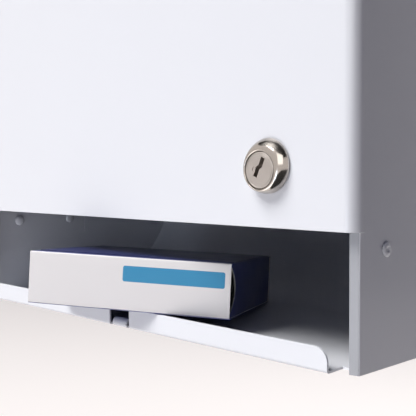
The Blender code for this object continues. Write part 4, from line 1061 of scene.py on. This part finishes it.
def makeKnob():
    x, height = coin["x"], coin["knobHeight"]
    back = coin["front"] - coin["gap"]
    front = back - knob["thickness"]
    outline = []
    count = knob["scallops"] * knob["scallopSteps"]
    for angle in (2 * pi * i / count for i in range(count)):
        reach = knob["radius"] - knob["scallopDip"] * max(0.0, cos(angle * knob["scallops"])) ** 2
        outline.append(polar(x, height, reach, angle))
    base = prism("knobBase", outline, "Y", front, back)
    carve(base, hole(coin["shaft"] + coin["gap"], at(x, 0, height), "Y", front - 1, back + 1, 48))
    soften(base, 0.5, 3, 50)
    # the grip is a bar that narrows towards its top, with a line cast into it
    levels = []
    for share, shrink in knob["levels"]:
        halfW, halfL = knob["halfWidth"] - shrink, knob["halfLength"] - shrink
        levels.append([at(a, front + 0.2 - (knob["gripHeight"] + 0.2) * share, b)
                       for a, b in boxRound(x, height, halfW, halfL, halfW - 0.05, 8)])
    grip = skinned("knobGrip", levels)
    top = front - knob["gripHeight"]
    carve(grip, block("cut", (x - knob["mark"], x + knob["mark"]), (top - 1, top + knob["mark"]),
                      (height + 6, height + knob["halfLength"] + 1)))
    smoothBy(grip, 30)
    stand(merge("vendKnob", base, grip), "vend_knob")
    profile = [(0, front), (3.6, front), (coin["shaft"], front + 0.4), *coin["shaftEnd"]]
    stand(smoothBy(turned("knobShaft", profile, at(x, 0, height), "Y", 40)), "knob_shaft")


def makeLever():
    x, half = lever["x"], lever["half"]
    front, back = coin["front"] - lever["proud"], coin["front"] + coin["wall"] + coin["gap"]
    face = coin["front"] - coin["gap"]
    low, high = lever["height"] - lever["thick"] / 2, lever["height"] + lever["thick"] / 2
    # the thumb tab is dished on top
    outline = [(face, low), (front + 1.2, low), (front, low + 1.4), (front, high)]
    outline += [(front + 1.0 + (face - front - 1.0) * i / 10, high - lever["dish"] * sin(pi * i / 10))
                for i in range(11)]
    tab = soften(prism("tab", outline, "X", x - half, x + half), 0.35, 3, 30)
    neck = block("neck", (x - lever["neck"], x + lever["neck"]), (face - 0.5, back + 0.5), (low, high))
    slider = soften(block("slider", (x - half, x + half), (back, back + lever["sliderThick"]),
                          (high - lever["sliderHeight"], high)), 0.3)
    stand(merge("returnLever", tab, neck, slider), "return_lever")


def makeCup():
    x0, x1, d0, d1, h0, h1 = nodeBox("coin_return_cup")
    thick, bend, r = cup["thick"], cup["bend"], cup["round"]
    # front lip, scooped floor and back of the cup, with cheeks at both sides
    path = [(d0 + 0.1, h0), (d1 - bend, h0), (d1, h0 + bend), (d1, h1)]
    parts = [soften(bentSheet("cupFloor", path, thick, "X", x0 + 1.0, x1 - 1.0, r, 8), 0.15)]
    outline = [(d0, h0), (d1 - r, h0), (d1, h0 + r), (d1, h1), (d0, h1)]
    parts += [soften(prism("cheek", outline, "X", a, b), 0.2) for a, b in ((x0, x0 + thick), (x1 - thick, x1))]
    stand(merge("coinCup", *parts), "coin_return_cup")


makeCoinPlate()
makeKnob()
makeLever()
makeCup()
print("coin plate, knob and lever made")


# behind the door: lock nut, cam and strike

latch = {
    "nutRadius": 12.5, "nutDepths": (1.6, 4.6),
    "nutCone": ((0, -1.0), (9.9, -1.0), (11.0, 0), (12.6, 0.9)),   # radius, and distance past a face
    "nutHole": 8.7, "camDepths": (20.6, 23.1), "camHalf": 8.0, "camLength": 34.0, "camCorner": 3.5,
    "camHole": (1.6, 7.0), "screwDepths": (23.4, 25.9), "screwRadius": 3.86, "screwArm": (2.3, 0.45),
    "strikeSheet": 2.0, "strikeBend": 3.4, "strikeHole": (1.5, 3.0, 2.0), "strikeHoles": (-7, 7),
}


def crossCut(obj, x, height, depths, arm, half):
    # the recess of a cross-headed screw
    for halfX, halfZ in ((arm, half), (half, arm)):
        carve(obj, block("cut", (x - halfX, x + halfX), depths, (height - halfZ, height + halfZ)))
    return smoothBy(obj, 30)


def makeLatch():
    x, _, height = lockCentre
    centre = at(x, 0, height)
    low, high = latch["nutDepths"]
    nut = prism("lockNut", arc(x, height, latch["nutRadius"], 0, 300, 5), "Y", low, high)
    # the six corners are turned down by a cone at both faces
    cone = latch["nutCone"]
    profile = [(r, low + d) for r, d in cone] + [(r, high - d) for r, d in reversed(cone)]
    carve(nut, turned("cone", profile, centre, "Y"), operation="INTERSECT")
    carve(nut, hole(latch["nutHole"], centre, "Y", 0, 6))
    fit(nut, "lock_nut", 0.2, 2, 30)

    tip, half, r = height + latch["camLength"], latch["camHalf"], latch["camCorner"]
    outline = arc(x, height, half, 180, 360, 24)
    outline += arc(x + half - r, tip - r, r, 0, 90, 6) + arc(x - half + r, tip - r, r, 90, 180, 6)
    cam = prism("lockCam", outline, "Y", *latch["camDepths"])
    bore, below = latch["camHole"]
    carve(cam, hole(bore, at(x, 0, tip - below), "Y", 18, 26, 24))
    fit(cam, "lock_cam", 0.35, 3)

    low, high = latch["screwDepths"]
    r = latch["screwRadius"]
    screw = turned("camScrew", [(0, low), (r - 0.3, low), (r, low + 0.3), (r, low + 1.0), (r - 0.5, high - 0.8),
                                (r - 1.6, high - 0.1), (0, high)], centre, "Y", 40)
    stand(crossCut(screw, x, height, (high - 1.3, high + 1), *latch["screwArm"]), "cam_screw")

    x0, x1, d0, d1, h0, h1 = nodeBox("lock_strike")
    strike = bentSheet("lockStrike", [(x0, d0), (x1, d0), (x1, d1)], latch["strikeSheet"], "Z", h0, h1,
                       latch["strikeBend"], 8)
    r, inward, rearward = latch["strikeHole"]
    for rise in latch["strikeHoles"]:
        middle = at(x1 - inward, (d0 + d1) / 2 + rearward, (h0 + h1) / 2 + rise)
        carve(strike, hole(r, middle, "X", -2, 5, 24))
    fit(strike, "lock_strike", 0.3)


makeLatch()
print("latch made")


# magazine: shelf, guides, weight

magazine = {
    "bend": 1.6, "sheet": 1.0, "edge": 0.18, "shelfRear": 147.8, "left": -130.5, "right": -26.9,
    "sightSlots": 5,
    "sight": (90.0, 98.0, 14.0, 3.95),   # depths, distance from the ends and corner of a slot to see the stack
    "hatShare": 0.25, "weightCorner": 3.0, "handleRadius": 1.8, "handleTop": 1.85, "handleSpan": 50.0,
    "handleBend": 6.0,
}


def makeSheetPiece(name, node, path, axis, low, high, sheet=1.0, bend=1.6, steps=5, edge=0.18):
    stand(soften(bentSheet(name, path, sheet, axis, low, high, bend, steps), edge), node)


def makeMagazine():
    sheet, edge, bend = magazine["sheet"], magazine["edge"], magazine["bend"]
    x0, x1, d0, d1, h0, h1 = nodeBox("magazine_shelf")
    rear = magazine["shelfRear"]
    shelf = bentSheet("magazineShelf", [(x1, h1), (x0, h1), (x0, h0)], sheet, "Y", d0, rear, bend)
    carve(shelf, block("flange", (x0 + 0.5, x1), (rear - 1, d1), (h1 - sheet, h1)), operation="UNION")
    fit(shelf, "magazine_shelf", edge)

    x0, x1, d0, d1, h0, h1 = nodeBox("magazine_left_guide")
    left = magazine["left"]
    path = [(x0, rear - 1), (left, rear - 1), (left, d0), (x1, d0)]
    makeSheetPiece("leftGuide", "magazine_left_guide", path, "Z", h0, h1)

    x0, x1, front, rear, h0, h1 = nodeBox("magazine_partition")
    right = magazine["right"]
    outer = [(x0, front), (right + sheet, front), (right + sheet, rear - sheet), (x1, rear - sheet)]
    inner = [(x1, rear), (right, rear), (right, front + sheet), (x0, front + sheet)]
    wall = prism("partition", filleted(outer, bend, 5) + filleted(inner, bend, 5), "Z", h0, h1)
    near, far, margin, r = magazine["sight"]
    step = (h1 - h0) / magazine["sightSlots"]
    lows = [h0 + step * i + margin for i in range(magazine["sightSlots"])]
    carve(wall, *[punch(roundBox(near, low, far, low + step - 2 * margin, r, 8), "X", right - 2, right + 3)
                  for low in lows])
    fit(wall, "magazine_partition", edge)

    x0, x1, d0, d1, h0, h1 = nodeBox("magazine_back_guide")
    third, rear = (x1 - x0) * magazine["hatShare"], d1 - sheet
    hat = [(x0, rear), (x0 + third, rear), (x0 + third, d0), (x1 - third, d0), (x1 - third, rear), (x1, rear)]
    makeSheetPiece("backGuide", "magazine_back_guide", hat, "Z", h0, h1)


def makeWeight():
    x0, x1, d0, d1, h0, h1 = nodeBox("follower_weight")
    plate = prism("followerWeight", roundBox(x0, d0, x1, d1, magazine["weightCorner"], 6), "Z", h0, h1)
    fit(plate, "follower_weight", 0.8, 3)
    x0, x1, d0, d1, h0, h1 = nodeBox("follower_handle")
    handle = bail("followerHandle", (x0 + x1) / 2, magazine["handleSpan"], h0, h1 - magazine["handleTop"],
                  magazine["handleBend"], magazine["handleRadius"], lambda a, b: at(a, (d0 + d1) / 2, b))
    fit(handle, "follower_handle", 0.3, 2, 60)


makeMagazine()
makeWeight()
print("magazine made")


# ejector: pusher, rack, pinion and the channel that carries the rack

gear = {
    "centre": (60.0, 250.0), "radius": 12.0, "teeth": 24, "rise": 0.9, "drop": 1.2, "share": 0.86,
    "angle": 20.0, "depths": (50.3, 56.3), "bore": 4.3,
    "groove": (6.6, 9.4, 0.8),     # inner and outer radius and depth, in both faces
    "rackTop": 270.0, "rackEnd": 67.0, "rackCorner": 2.0, "armWidth": 12.0, "armHeights": (3.0, 16.0),
    "armRear": 61.9, "blade": 2.0, "bladeCut": 4.0, "stroke": 270.0, "spare": 14.0,
}


def makePinion():
    x, height = gear["centre"]
    mid, rise, drop = gear["radius"], gear["rise"], gear["drop"]
    pitch = 2 * pi / gear["teeth"]
    slope = tan(radians(gear["angle"]))
    tip, root = mid + rise, mid - drop
    quarter = pitch / 4 * gear["share"]
    rootHalf, tipHalf = quarter + drop * slope / root, quarter - rise * slope / tip
    # the flank bulges a little between root and tip
    flankHalf = (rootHalf + tipHalf) / 2
    outline = []
    for middle in (-pi / 2 + i * pitch for i in range(gear["teeth"])):
        for radius, angle in ((root, -rootHalf), (mid, -flankHalf), (tip, -tipHalf), (tip, tipHalf),
                              (mid, flankHalf), (root, rootHalf)):
            outline.append(polar(x, height, radius, middle + angle))
    low, high = gear["depths"]
    wheel = prism("rackPinion", outline, "Y", low, high)
    centre = at(x, 0, height)
    inner, outer, deep = gear["groove"]
    carve(wheel, hole(gear["bore"], centre, "Y", low - 1, high + 1),
          hole(outer, centre, "Y", low - 1, low + deep, inner=inner),
          hole(outer, centre, "Y", high - deep, high + 1, inner=inner))
    fit(wheel, "pinion", 0.12, 1, 30)


def makeEjector():
    left, right, d0, d1, h0, h1 = nodeBox("ejector_pusher")
    cut = gear["bladeCut"]
    armLow, armHigh = (h0 + rise for rise in gear["armHeights"])
    blade = prism("pusherBlade", [(d0, h0), (d1, h0), (d1, h1 - cut), (d1 - cut, h1), (d0, h1)], "X", left,
                  left + gear["blade"])
    carve(blade, block("arm", (left, right), (d0, gear["armRear"]), (armLow, armHigh)), operation="UNION")
    fit(blade, "ejector_pusher", 0.3)

    x, height = gear["centre"]
    pitch = 2 * pi * gear["radius"] / gear["teeth"]
    level, slope = height + gear["radius"], tan(radians(gear["angle"]))
    root, tip = level + gear["drop"], level - gear["rise"]
    end, r, leg, top = gear["rackEnd"], gear["rackCorner"], left + gear["armWidth"], gear["rackTop"]
    outline = arc(leg + r, root - r, r, 90, 180, 4)
    outline += [(leg, armLow), (left, armLow), (left, top), (end, top), (end, root)]
    first = int((end - x) / pitch - 0.5)
    wide, narrow = pitch / 4 + gear["drop"] * slope, pitch / 4 - gear["rise"] * slope
    for i in range(int((gear["radius"] * radians(gear["stroke"]) + gear["spare"]) / pitch)):
        middle = x + (first - i + 0.5) * pitch
        tooth = ((wide, root), (narrow, tip), (-narrow, tip), (-wide, root))
        outline += [(middle + way, z) for way, z in tooth]
    stand(soften(prism("ejectorRack", outline, "Y", *gear["depths"]), 0.15, 1, 30), "ejector_rack")

    x0, x1, d0, d1, h0, h1 = nodeBox("rack_guide")
    makeSheetPiece("rackGuide", "rack_guide", [(d0, h1), (d0, h0), (d1, h0), (d1, h1)], "X", x0, x1,
                   bend=0.5, steps=3, edge=0.15)


makePinion()
makeEjector()
print("ejector made")


# inside of the coin mechanism

works = {
    "x": 60.0, "height": 250.0, "shaft": 4.3, "plateThick": 1.5, "plateBend": 2.2, "plateFlange": 49.7,
    "plateOpenings": ((-14, 215, 12, 268, 6, 8), (-14, 282, 12, 345, 6, 8)),
    "headPlaces": ((20.0, 208.5), (20.0, 350.0), (112.0, 208.5), (112.0, 350.0)),
    "head": ((0, 0.3), (3.0, 0.3), (3.0, -0.4), (2.5, -1.1), (1.6, -1.5), (0, -1.6)),
    "headCross": (1.74, 0.35), "housingWall": 1.5, "housingCorners": (2.4, 1.0), "slotHalf": 2.6,
    "slotHeights": (298.5, 325.5), "floorHole": (11.0, 18.0, 37.0), "drumRadius": 20.85,
    "drumDepths": (19.0, 24.0), "drumRing": (7.5, 8.1, 0.4), "pocketRadius": 12.5, "pocketRise": 19.0,
    "pocketDeep": 2.6, "caseRadius": 17.9, "caseDepths": (28.0, 43.7), "caseWall": 1.2,
    "stripEdges": (0.03, 0.57), "stripDepths": (29.5, 38.5), "stripTurns": 3, "stripReach": (4.3, 15.9),
    "coilTurns": 6, "coilSteps": 24, "coilWire": 0.48, "coilRadius": 2.55,
}


def makeMechanismPlate():
    x0, x1, d0, d1, h0, h1 = nodeBox("mechanism_plate")
    path = [(x0, works["plateFlange"]), (x0, d0), (x1, d0), (x1, d1)]
    plate = bentSheet("mechanismPlate", path, works["plateThick"], "Z", h0, h1, works["plateBend"])
    # openings lighten the plate beside the housing
    carve(plate, hole(works["shaft"], at(works["x"], 0, works["height"]), "Y", d0 - 2, d0 + 4),
          *[punch(roundBox(*opening), "Y", d0 - 2, d0 + 4) for opening in works["plateOpenings"]])
    parts = [soften(plate, 0.2)]
    for x, height in works["headPlaces"]:
        head = turned("screwHead", [(r, d0 + d) for r, d in works["head"]], at(x, 0, height), "Y", 32)
        parts.append(crossCut(head, x, height, (d0 - 3, d0 - 0.7), *works["headCross"]))
    stand(merge("mechanismSheet", *parts), "mechanism_plate")


def makeHousing():
    x0, x1, d0, d1, h0, h1 = nodeBox("mechanism_housing")
    x, wall = works["x"], works["housingWall"]
    outerRound, innerRound = works["housingCorners"]
    outer = prism("housing", roundBox(x0, h0, x1, h1, outerRound, 6), "Y", d0, d1)
    half, near, far = works["floorHole"]
    carve(outer,
          punch(roundBox(x0 + wall, h0 + wall, x1 - wall, h1 - wall, innerRound, 4), "Y", d0 + wall, d1 + 2),
          hole(works["shaft"], at(x, 0, works["height"]), "Y", d0 - 2, d0 + 3),
          block("cut", (x - works["slotHalf"], x + works["slotHalf"]), (d0 - 2, d0 + 3), works["slotHeights"]),
          block("cut", (x - half, x + half), (near, far), (h0 - 2, h0 + wall + 2)))
    fit(outer, "mechanism_housing", 0.3, 3)


def makeDrum():
    centre = at(works["x"], 0, works["height"])
    low, high = works["drumDepths"]
    bore, r = works["shaft"], works["drumRadius"]
    drum = turned("coinDrum", [(bore, low), (r - 0.5, low), (r, low + 0.5), (r, high - 0.5), (r - 0.5, high),
                               (bore, high)], centre, "Y", 96)
    pocket = hole(works["pocketRadius"], at(works["x"], 0, works["height"] + works["pocketRise"]), "Y",
                  low - 2, low + works["pocketDeep"])
    inner, outer, deep = works["drumRing"]
    ring = hole(outer, centre, "Y", low - 1, low + deep, inner=inner)
    carve(drum, pocket, ring)
    stand(smoothBy(drum, 30), "coin_drum")


def makeSpringCase():
    x, height = works["x"], works["height"]
    low, high = works["caseDepths"]
    r, wall, bore = works["caseRadius"], works["caseWall"], works["shaft"]
    profile = [(bore, low), (r - 1.2, low), (r - 0.35, low + 0.35), (r, low + 1.2), (r, high), (r - wall, high),
               (r - wall, low + wall + 0.3), (r - wall - 0.3, low + wall), (bore, low + wall)]
    stand(smoothBy(turned("springCase", profile, at(x, 0, height), "Y", 96), 30), "spring_case")
    steps = 64 * works["stripTurns"]
    near, far = works["stripReach"]
    walls = []
    for extra in works["stripEdges"]:
        spots = [(near + (far - near) * i / steps + extra, 2 * pi * works["stripTurns"] * i / steps)
                 for i in range(steps + 1)]
        walls.append([polar(x, height, *spot) for spot in spots])
    strip = prism("spiralSpring", walls[0] + walls[1][::-1], "Y", *works["stripDepths"])
    stand(smoothBy(strip, 40), "return_spring")


def makeLeverSpring():
    x0, x1, d0, d1, h0, h1 = nodeBox("return_lever_spring")
    turns, steps, wire, r = (works[key] for key in ("coilTurns", "coilSteps", "coilWire", "coilRadius"))
    points = []
    for i in range(turns * steps + 1):
        angle = 2 * pi * i / steps
        # the first and the last turn lie flat
        eased = min(1.0, max(0.0, (i / (turns * steps) - 0.5 / turns) / (1 - 1.0 / turns)))
        height = h1 - wire - (h1 - h0 - 2 * wire) * eased
        points.append(at(*polar((x0 + x1) / 2, (d0 + d1) / 2, r, angle), height))
    coil = rod("leverSpring", points, wire, 10)
    stand(coil, "return_lever_spring")
    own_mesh(coil)
    x0, x1, d0, d1, h0, h1 = nodeBox("spring_seat")
    stand(soften(block("springSeat", (x0, x1), (d0, d1), (h0, h1)), 0.4, 3), "spring_seat")


makeMechanismPlate()
makeHousing()
x0, x1, d0, d1, h0, h1 = nodeBox("coin_track")
path = [(x1, h0), (x1, h1), (x0, h1), (x0, h0)]
makeSheetPiece("coinTrack", "coin_track", path, "Y", d0, d1, bend=1.4, edge=0.15)
makeDrum()
makeSpringCase()
makeLeverSpring()
print("coin works made")


# coin chute, coin box with its shelf, and the wall beside the drop

bank = {
    "wall": 1.0, "chuteCorners": (2.0, 1.0), "corner": 4.0, "press": 0.3, "pressHeights": (4.0, -3.2),
    "handle": 1.45, "handleSpan": 40.0, "handleFront": 1.6, "handleBend": 4.0,
    "foot": ((0, 0), (1.5, 0), (1.5, -0.3), (1.3, -0.5), (0, -0.5)), "shelfTop": 121.7, "shelfBend": 0.9,
}


def grown(box, reach, radius, steps):
    # round outline of a node seen from above, set out by reach
    x0, x1, d0, d1 = box
    return roundBox(x0 - reach, d0 - reach, x1 + reach, d1 + reach, radius, steps)


def makeChute():
    *box, h0, h1 = nodeBox("coin_chute")
    outerRound, innerRound = bank["chuteCorners"]
    tube = prism("coinChute", grown(box, 0, outerRound, 6), "Z", h0, h1)
    carve(tube, punch(grown(box, -bank["wall"], innerRound, 6), "Z", h0 - 2, h1 + 2))
    fit(tube, "coin_chute", 0.2)


def makeCoinBox():
    *box, h0, h1 = nodeBox("coin_box")
    wall, r, press = bank["wall"], bank["corner"], bank["press"]
    outer = prism("coinBox", grown(box, 0, r, 10), "Z", h0, h1)
    carve(outer, punch(grown(box, -wall, r - wall, 10), "Z", h0 + wall, h1 + 2))
    # the sides are pressed in a little below the rim, which leaves a bead round the top
    low, high = bank["pressHeights"]
    ring = punch(grown(box, 3, r + 3, 10), "Z", h0 + low, h1 + high)
    carve(ring, punch(grown(box, -press, r - press, 10), "Z", h0, h1))
    carve(outer, ring)
    fit(outer, "coin_box", 0.2, 2, 30)

    x0, x1, d0, d1, h0, h1 = nodeBox("coin_box_handle")
    middle, height, span = (x0 + x1) / 2, (h0 + h1) / 2, bank["handleSpan"]
    parts = [bail("boxHandle", middle, span, d1, d0 + bank["handleFront"], bank["handleBend"], bank["handle"],
                  lambda a, b: at(a, b, height))]
    parts += [turned("foot", [(r, d1 + d) for r, d in bank["foot"]], at(x, 0, height), "Y", 24)
              for x in (middle - span / 2, middle + span / 2)]
    stand(merge("boxHandleWire", *parts), "coin_box_handle")

    x0, x1, d0, d1, h0, h1 = nodeBox("coin_box_shelf")
    top = bank["shelfTop"]
    under = [(d0, h1), (d0, top - wall), (d1 - wall, top - wall), (d1 - wall, h0)]
    over = [(d1, h0), (d1, top), (d0 + wall, top), (d0 + wall, h1)]
    bend = bank["shelfBend"]
    shelf = prism("boxShelf", filleted(under, bend, 4) + filleted(over, bend, 4), "X", x0, x1)
    fit(shelf, "coin_box_shelf", 0.15)


makeChute()
makeCoinBox()
x0, x1, d0, d1, h0, h1 = nodeBox("drop_baffle")
makeSheetPiece("dropBaffle", "drop_baffle", [(x0, d0), (x1, d0), (x1, d1)], "Z", h0, h1, bend=2.0, edge=0.2)
print("coin box made")
